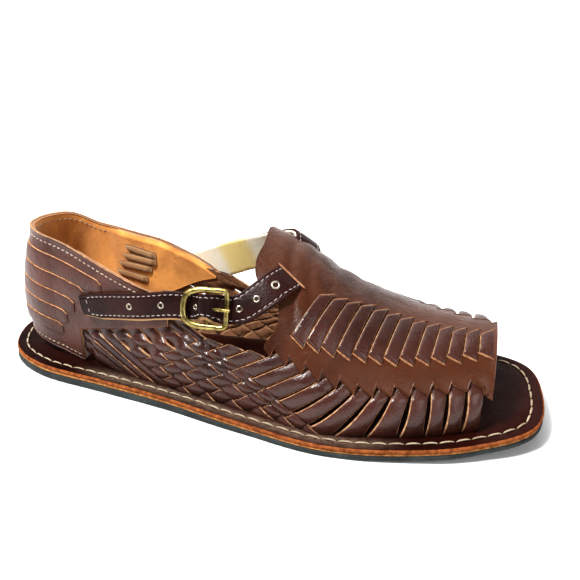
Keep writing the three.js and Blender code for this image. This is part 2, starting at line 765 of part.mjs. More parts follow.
function heelCounter() {
  const stops = counterStops(COUNTER_TIP);
  const rows = 5;
  const wall = shell(stops.length - 1, rows, COUNTER_THICKNESS, (a, b) => {
    const s = stops[a];
    return { s, v: lerp(counterBottom(s), counterTop(s), b / rows), lift: COUNTER_LIFT };
  });
  const bands = COUNTER_BANDS.map((band) => {
    const ends = counterStops(band.end * SOLE_LENGTH);
    const lift = COUNTER_LIFT + COUNTER_THICKNESS / 2 + BAND_RISE - BAND_THICKNESS / 2;
    return shell(ends.length - 1, 1, BAND_THICKNESS, (a, b) => {
      const s = ends[a];
      const share = b === 0 ? band.low : band.high;
      return { s, v: lerp(counterBottom(s > COUNTER_STEP ? COUNTER_STEP : s), counterTop(s), share), lift };
    });
  });
  return fromSolid(joined([wall, ...bands]));
}

// Straps.
// Path over the surface through table rows, as points with the surface normal.
function strapPath(side, rows, count) {
  const path = [];
  for (let k = 0; k <= count; k += 1) {
    const at = (k / count) * (rows.length - 1);
    const i = Math.min(Math.floor(at), rows.length - 2);
    const value = (column) => {
      const [p, a, b, q] = [rows[Math.max(i - 1, 0)], rows[i], rows[i + 1], rows[Math.min(i + 2, rows.length - 1)]];
      const t = at - i;
      return 0.5 * (2 * a[column] + (b[column] - p[column]) * t
        + (2 * p[column] - 5 * a[column] + 4 * b[column] - q[column]) * t * t
        + (3 * a[column] - p[column] - 3 * b[column] + q[column]) * t * t * t);
    };
    const frame = surfaceFrame(sideways(side, value("along") * SOLE_LENGTH), value("up") * INSTEP_HEIGHT);
    const point = frame.point.addScaledVector(frame.normal, value("lift") * STRAP_THICKNESS);
    path.push({ point, normal: frame.normal });
  }
  return path;
}

// Flat band swept along a path; each point has the surface normal or the direction across the band.
function sweep(path, width, thickness, endShape = () => 1) {
  const positions = [];
  path.forEach(({ point, normal, across }, k) => {
    const before = path[Math.max(k - 1, 0)].point;
    const after = path[Math.min(k + 1, path.length - 1)].point;
    const along = after.clone().sub(before).normalize();
    const wide = across ?? along.clone().cross(normal).normalize();
    const out = wide.clone().cross(along).normalize();
    const half = (width / 2) * endShape(k / (path.length - 1));
    for (const [a, b] of [[-1, -1], [1, -1], [1, 1], [-1, 1]]) {
      const corner = point.clone().addScaledVector(wide, a * half);
      corner.addScaledVector(out, (b * thickness) / 2);
      positions.push(corner.x, corner.y, corner.z);
    }
  });
  return boxTube(positions, path.length - 1);
}

const outerRun = strapPath(-1, STRAP_OUTER, 36);
const innerRun = strapPath(1, STRAP_INNER, 18);

// Frame on the outer run of the strap at a length along the shoe.
function strapFrameAt(x) {
  let k = 1;
  while (k < outerRun.length - 2 && outerRun[k].point.x < x) {
    k += 1;
  }
  const a = outerRun[k - 1];
  const b = outerRun[k];
  const t = (x - a.point.x) / (b.point.x - a.point.x);
  const point = a.point.clone().lerp(b.point, t);
  const along = b.point.clone().sub(a.point).normalize();
  const normal = a.normal.clone().lerp(b.normal, t);
  const across = along.clone().cross(normal).normalize();
  return { point, along, across, out: across.clone().cross(along).normalize() };
}

function placed(geometry, frame) {
  const matrix = new THREE.Matrix4().makeBasis(frame.along, frame.out, frame.along.clone().cross(frame.out));
  return geometry.applyMatrix4(matrix.setPosition(frame.point));
}

const eyeletHole = (x) => placed(
  new THREE.CylinderGeometry(EYELET_BARREL + CLEARANCE / 2, EYELET_BARREL + CLEARANCE / 2, 9, 10),
  strapFrameAt(x),
);

function eyelet(x) {
  const skin = STRAP_THICKNESS / 2;
  const profile = [
    [EYELET_BORE, -skin], [EYELET_BARREL, -skin], [EYELET_BARREL, skin + 0.15], [EYELET_RADIUS, skin + 0.15],
    [EYELET_RADIUS * 0.86, skin + EYELET_RIM], [EYELET_BORE, skin + EYELET_RIM * 0.8], [EYELET_BORE, -skin],
  ].map(([r, y]) => new THREE.Vector2(r, y));
  return facingOut(mergeBare(placed(new THREE.LatheGeometry(profile, 10), strapFrameAt(x))));
}

function mergeBare(geometry) {
  geometry.deleteAttribute("normal");
  geometry.deleteAttribute("uv");
  return mergeVertices(geometry, 1e-4);
}

// Ankle strap in one length: outer run, under the tab of the vamp, inner run.
// The strap is narrow from its tip to the buckle and widens toward the slot of the vamp.
function strapShape(t) {
  const narrow = STRAP_NARROW / STRAP_WIDTH;
  return lerp(narrow, 1, ease(clamp((t - 0.38) / 0.18, 0, 1))) * (t < 0.02 ? 0.8 : 1);
}

function ankleStrapBand(width, thickness) {
  return sweep([...outerRun, ...innerRun.slice(1)], width, thickness, strapShape);
}

function ankleStrap() {
  let solid = toSolid(ankleStrapBand(STRAP_WIDTH, STRAP_THICKNESS));
  for (const spot of EYELET_SPOTS) {
    solid = solid.subtract(toSolid(eyeletHole(spot * SOLE_LENGTH)));
  }
  return fromSolid(solid.subtract(toSolid(prongWire(PRONG_RADIUS + CLEARANCE))));
}

// Buckle. The frame lies over the strap at both ends; its centre bar lies under the strap's hump.
const bucklePlace = (() => {
  const clear = STRAP_THICKNESS / 2 + 3 * CLEARANCE + BUCKLE_WIRE;
  const [rear, front] = [-0.5, 0.5].map((end) => {
    const spot = strapFrameAt(BUCKLE_ALONG * SOLE_LENGTH + end * (BUCKLE_LENGTH - 2 * BUCKLE_WIRE));
    return spot.point.clone().addScaledVector(spot.out, clear);
  });
  const along = front.clone().sub(rear).normalize();
  const { normal } = surfaceFrame(BUCKLE_ALONG * SOLE_LENGTH, STRAP_OUTER[5].up * INSTEP_HEIGHT);
  const up = normal.clone().cross(along).normalize();
  return { point: rear.lerp(front, 0.5), along, up, out: along.clone().cross(up).normalize() };
})();

// Place on the buckle: a along the strap, b across it, c out from the frame's plane.
function buckleSpot(a, b, c) {
  return bucklePlace.point.clone().addScaledVector(bucklePlace.along, a)
    .addScaledVector(bucklePlace.up, b).addScaledVector(bucklePlace.out, c);
}

// Round wire along a smooth path, its ends closed flat unless the path itself is closed.
function wire(points, radius, segments, closed) {
  const curve = new THREE.CatmullRomCurve3(points, closed, "centripetal");
  const frames = curve.computeFrenetFrames(segments, closed);
  const rings = closed ? segments : segments + 1;
  const positions = [];
  const index = [];
  for (let i = 0; i < rings; i += 1) {
    const centre = curve.getPointAt(i / segments);
    for (let k = 0; k < WIRE_SIDES; k += 1) {
      const turn = (2 * Math.PI * k) / WIRE_SIDES;
      const corner = centre.clone().addScaledVector(frames.normals[i], radius * Math.cos(turn));
      corner.addScaledVector(frames.binormals[i], radius * Math.sin(turn));
      positions.push(corner.x, corner.y, corner.z);
    }
  }
  for (let i = 0; i < segments; i += 1) {
    const here = WIRE_SIDES * i;
    const next = WIRE_SIDES * ((i + 1) % rings);
    for (let k = 0; k < WIRE_SIDES; k += 1) {
      const turned = (k + 1) % WIRE_SIDES;
      index.push(here + k, here + turned, next + k, here + turned, next + turned, next + k);
    }
  }
  const last = WIRE_SIDES * (rings - 1);
  for (let k = 1; k < WIRE_SIDES - 1 && !closed; k += 1) {
    index.push(0, k + 1, k, last, last + k, last + k + 1);
  }
  return facingOut(toGeometry(positions, index));
}

const BUCKLE_HALF_LENGTH = BUCKLE_LENGTH / 2 - BUCKLE_WIRE;
const BUCKLE_HALF_HEIGHT = BUCKLE_HEIGHT / 2 - BUCKLE_WIRE;
const BAR_RADIUS = 0.8 * BUCKLE_WIRE;

function buckleFrame() {
  const ring = [
    [1, 0], [1, 0.7], [0.93, 0.97], [0.3, 1.02], [-0.5, 0.95], [-0.9, 0.65],
    [-1, 0], [-0.9, -0.65], [-0.5, -0.95], [0.3, -1.02], [0.93, -0.97], [1, -0.7],
  ].map(([a, b]) => buckleSpot(a * BUCKLE_HALF_LENGTH, b * BUCKLE_HALF_HEIGHT, 0));
  const bar = [[1, 0], [1, -0.5], [0.95, -0.9], [0.8, -1], [0, -1], [-0.8, -1], [-0.95, -0.9], [-1, -0.5], [-1, 0]]
    .map(([b, c]) => buckleSpot(0, b * BUCKLE_HALF_HEIGHT, c * CENTRE_BAR_DROP));
  return fromSolid(joined([wire(ring, BUCKLE_WIRE, 32, true), wire(bar, BAR_RADIUS, 18, false)]));
}

// Prong: hooked round the centre bar, out through the strap and over the front of the frame.
function prongWire(radius) {
  const loop = BAR_RADIUS + PRONG_RADIUS + CLEARANCE;
  const over = BUCKLE_WIRE + PRONG_RADIUS + CLEARANCE;
  const curl = [5.4, 4.6, 3.8, 3, 2.2, 1.5]
    .map((turn) => buckleSpot(loop * Math.cos(turn), 0, loop * Math.sin(turn) - CENTRE_BAR_DROP));
  const reach = [[0.45, 0.1], [0.75, 0.7], [1, 1], [1.22, 0.95]]
    .map(([a, c]) => buckleSpot(a * BUCKLE_HALF_LENGTH, 0, c * over));
  return wire([...curl, ...reach], radius, 22, false);
}

// Short strap from inside the tip of the counter, folded back round the centre bar.
function buckleStrapBand(width, thickness) {
  const loop = BAR_RADIUS + HOLDER_THICKNESS / 2 + CLEARANCE;
  const start = HOLDER_START.map(({ along, up, lift }) => {
    const { point, normal } = surfaceFrame(along * SOLE_LENGTH, up * INSTEP_HEIGHT);
    return point.addScaledVector(normal, lift * HOLDER_THICKNESS);
  });
  const fold = [[-3.2, -1.15], [-1.4, -1.02], [0, -1], [0.7, -0.7], [1, 0], [0.7, 0.7], [0, 1], [-0.6, 0.9]]
    .map(([a, c]) => buckleSpot(a * loop, 0, c * loop - CENTRE_BAR_DROP));
  const curve = new THREE.CatmullRomCurve3([...start, ...fold], false, "centripetal");
  const path = curve.getSpacedPoints(30).map((point) => ({ point, across: bucklePlace.up }));
  return sweep(path, width, thickness);
}

function buckleStrap() {
  const band = toSolid(buckleStrapBand(HOLDER_WIDTH, HOLDER_THICKNESS));
  return fromSolid(band.subtract(toSolid(prongWire(PRONG_RADIUS + CLEARANCE))));
}

// Assembly.
function named(name, geometry, color, roughness, metalness = 0) {
  const mesh = new THREE.Mesh(geometry, new THREE.MeshStandardMaterial({ color, roughness, metalness }));
  mesh.name = name;
  mesh.geometry.computeVertexNormals();
  return mesh;
}

function upperGeometry() {
  const pieces = [];
  for (const side of [-1, 1]) {
    pieces.push(vampHalf(side));
    for (let i = 0; i < STRIP_COUNT; i += 1) {
      pieces.push(sideStrip(side, i));
    }
    for (let j = FIRST_DIAGONAL; j < DIAGONAL_COUNT; j += 1) {
      pieces.push(diagonalStrip(side, j));
    }
  }
  for (let k = 0; k < RUNG_COUNT; k += 1) {
    pieces.push(rung(k));
  }
  const room = toSolid(ankleStrapBand(STRAP_WIDTH + 2 * CLEARANCE, STRAP_THICKNESS + 2 * CLEARANCE));
  let upper = fromSolid(joined(pieces).subtract(room));
  for (let pass = 0; pass < 3; pass += 1) {
    upper = pocketsFilled(fromSolid(toSolid(upper)));
  }
  return upper;
}

const shoe = new THREE.Group();
shoe.name = "huarache_sandal";
shoe.add(
  named("outsole", soleLayer(springAt, outsoleTop, 0), 0x1c2222, 0.8),
  named("midsole", soleLayer((x) => outsoleTop(x) + GLUE_LINE, midsoleTop, 0.5), LEATHER.edge, 0.7),
  named("insole", soleLayer((x) => midsoleTop(x) + GLUE_LINE, insoleTop, 0.2), LEATHER.insole, 0.35),
  named("upper", upperGeometry(), LEATHER.vamp, 0.4),
  named("heel_counter", heelCounter(), LEATHER.strip, 0.45),
  named("ankle_strap", ankleStrap(), LEATHER.strap, 0.5),
  named("buckle_frame", buckleFrame(), 0xa8873c, 0.3, 1),
  named("buckle_strap", buckleStrap(), LEATHER.edge, 0.7),
  named("buckle_prong", prongWire(PRONG_RADIUS), 0xa8873c, 0.3, 1),
  ...EYELET_SPOTS.map((spot, k) => named(`eyelet_${k + 1}`, eyelet(spot * SOLE_LENGTH), 0xa8873c, 0.35, 1)),
);

const middle = new THREE.Box3().setFromObject(shoe.children[0]).getCenter(new THREE.Vector3());
for (const mesh of shoe.children) {
  mesh.geometry.translate(-middle.x, -middle.y, 0);
}

export default shoe;
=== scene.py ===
# Huarache sandal for the right foot. Shoe sizes are in millimetres and turned into metres at the end.
import bmesh
import bpy
import math
import numpy as np
from mathutils import Vector, Matrix


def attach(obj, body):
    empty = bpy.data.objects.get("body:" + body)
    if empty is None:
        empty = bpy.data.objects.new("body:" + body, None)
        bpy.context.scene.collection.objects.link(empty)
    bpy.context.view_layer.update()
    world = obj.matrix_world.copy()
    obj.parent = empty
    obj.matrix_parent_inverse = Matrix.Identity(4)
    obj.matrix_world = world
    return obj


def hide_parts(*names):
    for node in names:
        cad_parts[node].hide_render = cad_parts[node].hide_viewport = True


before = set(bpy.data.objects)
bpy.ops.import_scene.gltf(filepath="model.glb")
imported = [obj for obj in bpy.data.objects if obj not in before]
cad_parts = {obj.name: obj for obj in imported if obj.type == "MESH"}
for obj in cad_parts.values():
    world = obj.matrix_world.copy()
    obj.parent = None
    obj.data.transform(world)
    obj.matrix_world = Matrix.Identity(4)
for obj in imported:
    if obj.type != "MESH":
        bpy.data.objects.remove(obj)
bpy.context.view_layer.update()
rng = np.random.default_rng(11)
print("stage: frame loaded", flush=True)

shoe = dict(length=290.0, ball=115.0, instep=83.0, heel=70.0, toeSpring=6.4, stackHeel=7.6, stackBall=5.6,
            insole=2.0, midShare=0.3, flatEnd=0.646, stackHeelEnd=0.27, stackBallStart=0.68, clearance=0.3)
outlineSamples = 1440

# Sole seen from above: along as a share of the length, across as a share of the ball width.
soleOutline = np.array([
    (0.0, 0.04), (0.041, -0.203), (0.124, -0.328), (0.258, -0.378), (0.394, -0.422), (0.531, -0.486),
    (0.675, -0.533), (0.787, -0.49), (0.894, -0.397), (0.983, -0.23), (1.0, 0.053), (0.977, 0.306),
    (0.89, 0.437), (0.773, 0.467), (0.649, 0.423), (0.508, 0.346), (0.366, 0.302), (0.226, 0.307),
    (0.094, 0.309), (0.014, 0.214)])

# Sections of the foot: along, outer, inner, height, bulge, rise, shoulder, as shares of the sizes above.
footSections = np.array([
    (0.156, 0.204, 0.191, 1.422, 0.052, 0.34, 0.85), (0.249, 0.252, 0.209, 1.41, 0.052, 0.34, 0.85),
    (0.336, 0.3, 0.226, 1.349, 0.052, 0.36, 0.8), (0.422, 0.335, 0.243, 1.205, 0.052, 0.42, 0.75),
    (0.501, 0.365, 0.27, 1.0, 0.052, 0.55, 0.62), (0.577, 0.4, 0.3, 0.892, 0.043, 0.6, 0.58),
    (0.663, 0.443, 0.339, 0.711, 0.035, 0.6, 0.58), (0.749, 0.404, 0.365, 0.59, 0.035, 0.6, 0.6),
    (0.836, 0.339, 0.357, 0.524, 0.035, 0.6, 0.6), (0.922, 0.235, 0.313, 0.506, 0.035, 0.6, 0.6)])

# Back of the heel: height as a share of the heel height, reach as a share of the ball width.
heelProfile = np.array([(0.0, 0.235), (0.09, 0.245), (0.16, 0.257), (0.27, 0.27), (0.4, 0.268),
                        (0.57, 0.252), (0.71, 0.23), (0.84, 0.205), (1.0, 0.175), (1.6, 0.09)])


# Straight mix: a plus t times the way from a to b.
def lerp(a, b, t):
    return a + (b - a) * t


# Smooth step: 3 t squared less 2 t cubed, with t held between 0 and 1.
def ease(t):
    t = np.clip(t, 0.0, 1.0)
    return t * t * (3 - 2 * t)


# Cubic between table rows, its slope at a row being that between the rows beside it.
def tableAt(keys, values, at):
    at = np.asarray(at, float)
    n = len(keys)
    low, high = np.maximum(np.arange(n) - 1, 0), np.minimum(np.arange(n) + 1, n - 1)
    slope = (values[high] - values[low]) / (keys[high] - keys[low])
    k = np.clip(np.searchsorted(keys, at, side="left") - 1, 0, n - 2)
    span = keys[k + 1] - keys[k]
    t = np.clip((at - keys[k]) / span, 0, 1)
    return ((2 * t**3 - 3 * t**2 + 1) * values[k] + (t**3 - 2 * t**2 + t) * span * slope[k]
            + (3 * t**2 - 2 * t**3) * values[k + 1] + (t**3 - t**2) * span * slope[k + 1])


# Closed centripetal spline through the outline points, sampled evenly in its parameter.
def closedSpline(points, samples):
    n = len(points)
    at = np.arange(samples) * n / samples
    k = np.floor(at).astype(int)
    t = (at - k)[:, None]
    p0, p1, p2, p3 = (points[(k + j) % n] for j in (-1, 0, 1, 2))
    gap = lambda a, b: np.sum((a - b) ** 2, axis=1)[:, None] ** 0.25
    d0, d1, d2 = gap(p0, p1), gap(p1, p2), gap(p2, p3)
    t1 = ((p1 - p0) / d0 - (p2 - p0) / (d0 + d1) + (p2 - p1) / d1) * d1
    t2 = ((p2 - p1) / d1 - (p3 - p1) / (d1 + d2) + (p3 - p2) / d2) * d1
    return p1 + t1 * t + (-3 * p1 + 3 * p2 - 2 * t1 - t2) * t**2 + (2 * p1 - 2 * p2 + t1 + t2) * t**3


outlinePoints = closedSpline(soleOutline * (shoe["length"], shoe["ball"]), outlineSamples)
heelX, toeX = outlinePoints[:, 0].min(), outlinePoints[:, 0].max()
middle = np.array([(heelX + toeX) / 2, (outlinePoints[:, 1].min() + outlinePoints[:, 1].max()) / 2, 0.0])


# Edge of the sole at x on one side: the outline, cut at heel and toe into two runs, is read off by x.
def soleEdge(side, x):
    start, end = int(np.argmin(outlinePoints[:, 0])), int(np.argmax(outlinePoints[:, 0]))
    ring = np.roll(outlinePoints, -start, axis=0)
    split = (end - start) % len(ring)
    run = ring[:split + 1] if side < 0 else np.vstack([ring[split:], ring[:1]])[::-1]
    return np.interp(x, run[:, 0], run[:, 1])


# Lift of the toe: it grows with the square of the way past the flat part of the sole.
def springAt(x):
    past = np.maximum(0, x / shoe["length"] - shoe["flatEnd"]) / (1 - shoe["flatEnd"])
    return shoe["toeSpring"] * past**2


# Thickness of all sole layers: eased from the heel value to the ball value.
def stackAt(x):
    t = (x / shoe["length"] - shoe["stackHeelEnd"]) / (shoe["stackBallStart"] - shoe["stackHeelEnd"])
    return lerp(shoe["stackHeel"], shoe["stackBall"], ease(t))


# Tops of the layers: the spring plus the stack, less the insole, and the rubber's share of the rest.
def insoleTop(x):
    return springAt(x) + stackAt(x)


def midsoleTop(x):
    return insoleTop(x) - shoe["insole"]


def outsoleTop(x):
    return springAt(x) + (stackAt(x) - shoe["insole"]) * (1 - shoe["midShare"])


heelPivot = footSections[0, 0] * shoe["length"]
heelTurn = 32.0
heelEnd = heelPivot - heelTurn * math.pi
crownSide, openEnd, closedStart, roomShare, roofShare = 4.0, 0.336, 0.501, 0.62, 0.72
sectionSteps = 40
heelPower = 2.1


# Half cross-section on one side: a cubic curve from the sole's edge over the fullest place to the crown.
def sideSection(side, x):
    along = x / shoe["length"]
    read = lambda column: tableAt(footSections[:, 0], footSections[:, column], along)
    base = np.where(side < 0, read(1), read(2)) * shoe["ball"]
    height = read(3) * shoe["instep"]
    closed = ease((along - openEnd) / (closedStart - openEnd))
    top = lerp(base * roomShare, side * crownSide, closed)
    foot = insoleTop(x) + shoe["clearance"]
    r = np.stack([base, base + read(4) * shoe["ball"], lerp(top, base, read(6)), top])
    z = np.stack([foot, lerp(foot, height, read(5)), lerp(lerp(foot, height, roofShare), height, closed),
                  height])
    t = np.linspace(0, 1, sectionSteps + 1)
    w = np.stack([(1 - t)**3, 3 * (1 - t)**2 * t, 3 * (1 - t) * t**2, t**3])
    return np.einsum("kn,km->nm", r, w), np.einsum("kn,km->nm", z, w)


# Round the heel the radius is that of a superellipse: (cos / side) and (sin / back), each to heelPower,
# are added, and the sum goes to the power -1 / heelPower.
def heelSection(turn):
    one = np.full(1, heelPivot)
    (ro, zo), (ri, zi) = sideSection(-np.ones(1), one), sideSection(np.ones(1), one)
    mix = ((1 - np.cos(turn)) / 2)[:, None]
    z, side = lerp(zo, zi, mix), lerp(ro, ri, mix)
    foot = insoleTop(heelPivot) + shoe["clearance"]
    back = shoe["ball"] * tableAt(heelProfile[:, 0], heelProfile[:, 1], (z - foot) / shoe["heel"])
    total = (np.abs(np.cos(turn))[:, None] / side)**heelPower + (np.sin(turn)[:, None] / back)**heelPower
    return total**(-1 / heelPower), z


# Length along each section up to each of its points: the running sum of its steps.
def sectionLengths(r, z):
    steps = np.hypot(np.diff(r, axis=1), np.diff(z, axis=1))
    return np.concatenate([np.zeros((len(r), 1)), np.cumsum(steps, axis=1)], axis=1)


# Point of each section at length v: straight between the two points on either side.
def alongSection(r, z, v):
    lengths = sectionLengths(r, z)
    k = np.clip((lengths < v[:, None]).sum(axis=1) - 1, 0, sectionSteps - 1)
    row = np.arange(len(v))
    t = (v - lengths[row, k]) / (lengths[row, k + 1] - lengths[row, k])
    return lerp(r[row, k], r[row, k + 1], t), lerp(z[row, k], z[row, k + 1], t)


# Whole length of the half section at x.
def girth(side, x):
    x = np.asarray(x, float)
    flat = np.atleast_1d(x).ravel()
    return sectionLengths(*sideSection(side * np.ones(len(flat)), flat))[:, -1].reshape(x.shape)


# Point of the foot surface at s round the shoe and v up the wall; past the crown it goes down again.
def surfacePoint(s, v):
    shape = np.shape(s)
    s, v = np.ravel(s).astype(float), np.ravel(v).astype(float)
    out = np.zeros((len(s), 3))
    atHeel = (s < heelPivot) & (s > heelEnd)
    if atHeel.any():
        turn = (heelPivot - s[atHeel]) / heelTurn
        r, z = alongSection(*heelSection(turn), v[atHeel])
        out[atHeel] = np.stack([heelPivot - r * np.sin(turn), -r * np.cos(turn), z], axis=1)
    rest = ~atHeel
    if rest.any():
        side = np.where(s[rest] >= heelPivot, -1.0, 1.0)
        x = np.where(side < 0, s[rest], heelPivot + heelEnd - s[rest])
        up = v[rest]
        own = sectionLengths(*sideSection(side, x))[:, -1]
        other = sectionLengths(*sideSection(-side, x))[:, -1]
        past = (up > own) & (x / shoe["length"] > openEnd)
        side = np.where(past, -side, side)
        up = np.where(past, own + other - up, up)
        y, z = alongSection(*sideSection(side, x), up)
        out[rest] = np.stack([x, side * y, z], axis=1)
    return out.reshape(shape + (3,))


# Vector divided by its length.
def unit(a):
    return a / np.maximum(np.linalg.norm(a, axis=-1, keepdims=True), 1e-12)


# Place s round the shoe for x on a side: x itself outside, mirrored about the heel inside.
def sideways(side, x):
    return x if side < 0 else heelPivot + heelEnd - x


# Point of the surface and its outward normal, from small steps along s and v.
def surfaceFrame(s, v):
    step = 0.8
    s, v = np.broadcast_arrays(np.asarray(s, float), np.asarray(v, float))
    low = np.maximum(v - step, 0)
    up = surfacePoint(s, low + 2 * step) - surfacePoint(s, low)
    forward = surfacePoint(s + step, v) - surfacePoint(s - step, v)
    return surfacePoint(s, v), unit(np.cross(forward, up))


# Point of the surface moved out along its normal by the lift.
def onSurface(s, v, lift):
    point, normal = surfaceFrame(s, v)
    return point + normal * np.asarray(lift)[..., None]


# Length along a path up to each of its points.
def runAlong(path):
    return np.concatenate([[0], np.cumsum(np.linalg.norm(np.diff(path, axis=0), axis=1))])


# Each column of a field read at given lengths of the run, straight between its points.
def readAlong(at, run, field):
    return np.stack([np.interp(at, run, field[:, k]) for k in range(3)], axis=-1)


# Smooth wave noise in two variables, from a few sines with fixed phases.
def ripple(a, b, seed, waves=5):
    turn = np.random.default_rng(seed)
    total = 0.0
    for k in range(waves):
        angle, phase, rate = turn.uniform(0, 2 * math.pi), turn.uniform(0, 2 * math.pi), 0.6 + 0.5 * k
        total = total + np.sin(rate * (a * math.cos(angle) + b * math.sin(angle)) + phase) / (1 + 0.5 * k)
    return total / waves


# Meshes.

# Mesh object from points in millimetres: the faces are turned outward by the sign of the volume they
# enclose, which is the sum of each face's triple product.
def buildMesh(name, points, quads, tris, attributes, material, smooth=True):
    quads = np.asarray(quads, np.int64).reshape(-1, 4)
    tris = np.asarray(tris, np.int64).reshape(-1, 3)
    a = points[quads[:, 0]]
    volume = np.einsum("ij,ij->i", a, np.cross(points[quads[:, 1]], points[quads[:, 2]])).sum()
    volume += np.einsum("ij,ij->i", a, np.cross(points[quads[:, 2]], points[quads[:, 3]])).sum()
    if len(tris):
        t = points[tris]
        volume += np.einsum("ij,ij->i", t[:, 0], np.cross(t[:, 1], t[:, 2])).sum()
    if volume < 0:
        quads, tris = quads[:, ::-1], tris[:, ::-1]
    mesh = bpy.data.meshes.new(name)
    mesh.vertices.add(len(points))
    mesh.vertices.foreach_set("co", ((points - middle) / 1000).astype(np.float32).ravel())
    loops = np.concatenate([quads.ravel(), tris.ravel()]).astype(np.int32)
    starts = np.concatenate([np.arange(len(quads)) * 4, len(quads) * 4 + np.arange(len(tris)) * 3])
    starts = starts.astype(np.int32)
    mesh.loops.add(len(loops))
    mesh.loops.foreach_set("vertex_index", loops)
    mesh.polygons.add(len(starts))
    mesh.polygons.foreach_set("loop_start", starts)
    mesh.polygons.foreach_set("use_smooth", np.full(len(starts), smooth))
    mesh.update(calc_edges=True)
    mesh.validate()
    for key, values in attributes.items():
        layer = mesh.attributes.new(key, "FLOAT", "POINT")
        layer.data.foreach_set("value", np.asarray(values, np.float32).ravel())
    mesh.materials.append(material)
    obj = bpy.data.objects.new(name, mesh)
    bpy.context.scene.collection.objects.link(obj)
    return obj


# Four-cornered faces of a grid of n by m points, joined round where wrap is set.
def gridQuads(n, m, wrapN=False, wrapM=False):
    i = np.arange(n if wrapN else n - 1)
    j = np.arange(m if wrapM else m - 1)
    a, b = np.meshgrid(i, j, indexing="ij")
    c, d = (a + 1) % n, (b + 1) % m
    return np.stack([a * m + b, c * m + b, c * m + d, a * m + d], axis=-1).reshape(-1, 4)


# Many lofts at once: rings has the shape (pieces, rings, corners, 3); the ends are closed by a fan.
def loftMany(rings, attributes, closed=False):
    pieces, n, k, _ = rings.shape
    body = rings.reshape(pieces, n * k, 3)
    quads = gridQuads(n, k, wrapN=closed, wrapM=True)
    extra = {key: np.broadcast_to(value, (pieces, n, k)).reshape(pieces, n * k)
             for key, value in attributes.items()}
    if closed:
        count = n * k
        points = body
        tris = np.zeros((0, 3), int)
    else:
        count = n * k + 2
        points = np.concatenate([body, rings[:, 0].mean(axis=1)[:, None],
                                 rings[:, -1].mean(axis=1)[:, None]], axis=1)
        ring = np.arange(k)
        first = np.stack([np.full(k, n * k), (ring + 1) % k, ring], axis=1)
        last = np.stack([np.full(k, n * k + 1), (n - 1) * k + ring, (n - 1) * k + (ring + 1) % k], axis=1)
        tris = np.concatenate([first, last])
        extra = {key: np.concatenate([v, v[:, :1], v[:, -1:]], axis=1) for key, v in extra.items()}
    shift = (np.arange(pieces) * count)[:, None, None]
    return (points.reshape(-1, 3), (quads[None] + shift).reshape(-1, 4), (tris[None] + shift).reshape(-1, 3),
            {key: v.reshape(-1) for key, v in extra.items()})


# Corners of a band's section: across from -1 to 1 on top, round the edge and back underneath.
# Columns: across, height as a share of the thickness, edge, under.
def bandLoop(across, roundness=0.12):
    w = np.linspace(-1, 1, across) * (1 - roundness)
    top = np.stack([w, np.full(across, 0.5), np.zeros(across), np.zeros(across)], axis=1)
    right = np.array([(1 - 0.3 * roundness, 0.36, 0.75, 0), (1.0, 0.1, 1, 0), (1.0, -0.2, 1, 0.2),
                      (1 - roundness, -0.5, 0.6, 1)])
    under = np.stack([w[::-1][1:-1][::2], np.full(len(w[1:-1][::2]), -0.5), np.zeros(len(w[1:-1][::2])),
                      np.ones(len(w[1:-1][::2]))], axis=1)
    left = right[::-1] * (-1, 1, 1, 1)
    return np.concatenate([top, right, under, left])


# Piece set under the root body, with the solids it stands for hidden. The slot name is not used.
def addPiece(obj, slotName, *nodes):
    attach(obj, "root")
    if nodes:
        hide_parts(*nodes)


# Materials.

# Empty material with its output, main shader and coordinates.
def newMaterial(name):
    material = bpy.data.materials.new(name)
    material.use_nodes = True
    tree = material.node_tree
    tree.nodes.clear()
    output = tree.nodes.new("ShaderNodeOutputMaterial")
    shader = tree.nodes.new("ShaderNodeBsdfPrincipled")
    tree.links.new(shader.outputs[0], output.inputs[0])
    coords = tree.nodes.new("ShaderNodeTexCoord")
    return material, tree, shader, coords


# Noise on Object coordinates; the scale counts its swings per metre.
def noiseNode(tree, coords, scale, detail=4.0, rough=0.5, distortion=0.0):
    node = tree.nodes.new("ShaderNodeTexNoise")
    node.inputs["Scale"].default_value = scale
    node.inputs["Detail"].default_value = detail
    node.inputs["Roughness"].default_value = rough
    node.inputs["Distortion"].default_value = distortion
    tree.links.new(coords.outputs["Object"], node.inputs["Vector"])
    return node.outputs["Fac"]


# Value carried smoothly from one range to another.
def rangeNode(tree, value, low, high, toLow=0.0, toHigh=1.0):
    node = tree.nodes.new("ShaderNodeMapRange")
    node.interpolation_type = "SMOOTHSTEP"
    for socket, number in zip(("From Min", "From Max", "To Min", "To Max"), (low, high, toLow, toHigh)):
        node.inputs[socket].default_value = number
    tree.links.new(value, node.inputs["Value"])
    return node.outputs["Result"]


# Mix of two colours; numbers and colours are set on the sockets, all else is linked.
def mixNode(tree, factor, a, b, mode="MIX"):
    node = tree.nodes.new("ShaderNodeMix")
    node.data_type = "RGBA"
    node.blend_type = mode
    for socket, value in ((node.inputs[0], factor), (node.inputs[6], a), (node.inputs[7], b)):
        if isinstance(value, (int, float)):
            socket.default_value = value
        elif isinstance(value, tuple):
            socket.default_value = (*value, 1.0)
        else:
            tree.links.new(value, socket)
    return node.outputs[2]


# Value of a piece's own attribute.
def attributeNode(tree, name):
    node = tree.nodes.new("ShaderNodeAttribute")
    node.attribute_name = name
    return node.outputs["Fac"]


# One sum, product or the like of two values.
def mathNode(tree, kind, a, b):
    node = tree.nodes.new("ShaderNodeMath")
    node.operation = kind
    for socket, value in zip(node.inputs, (a, b)):
        if isinstance(value, (int, float)):
            socket.default_value = value
        else:
            tree.links.new(value, socket)
    return node.outputs[0]


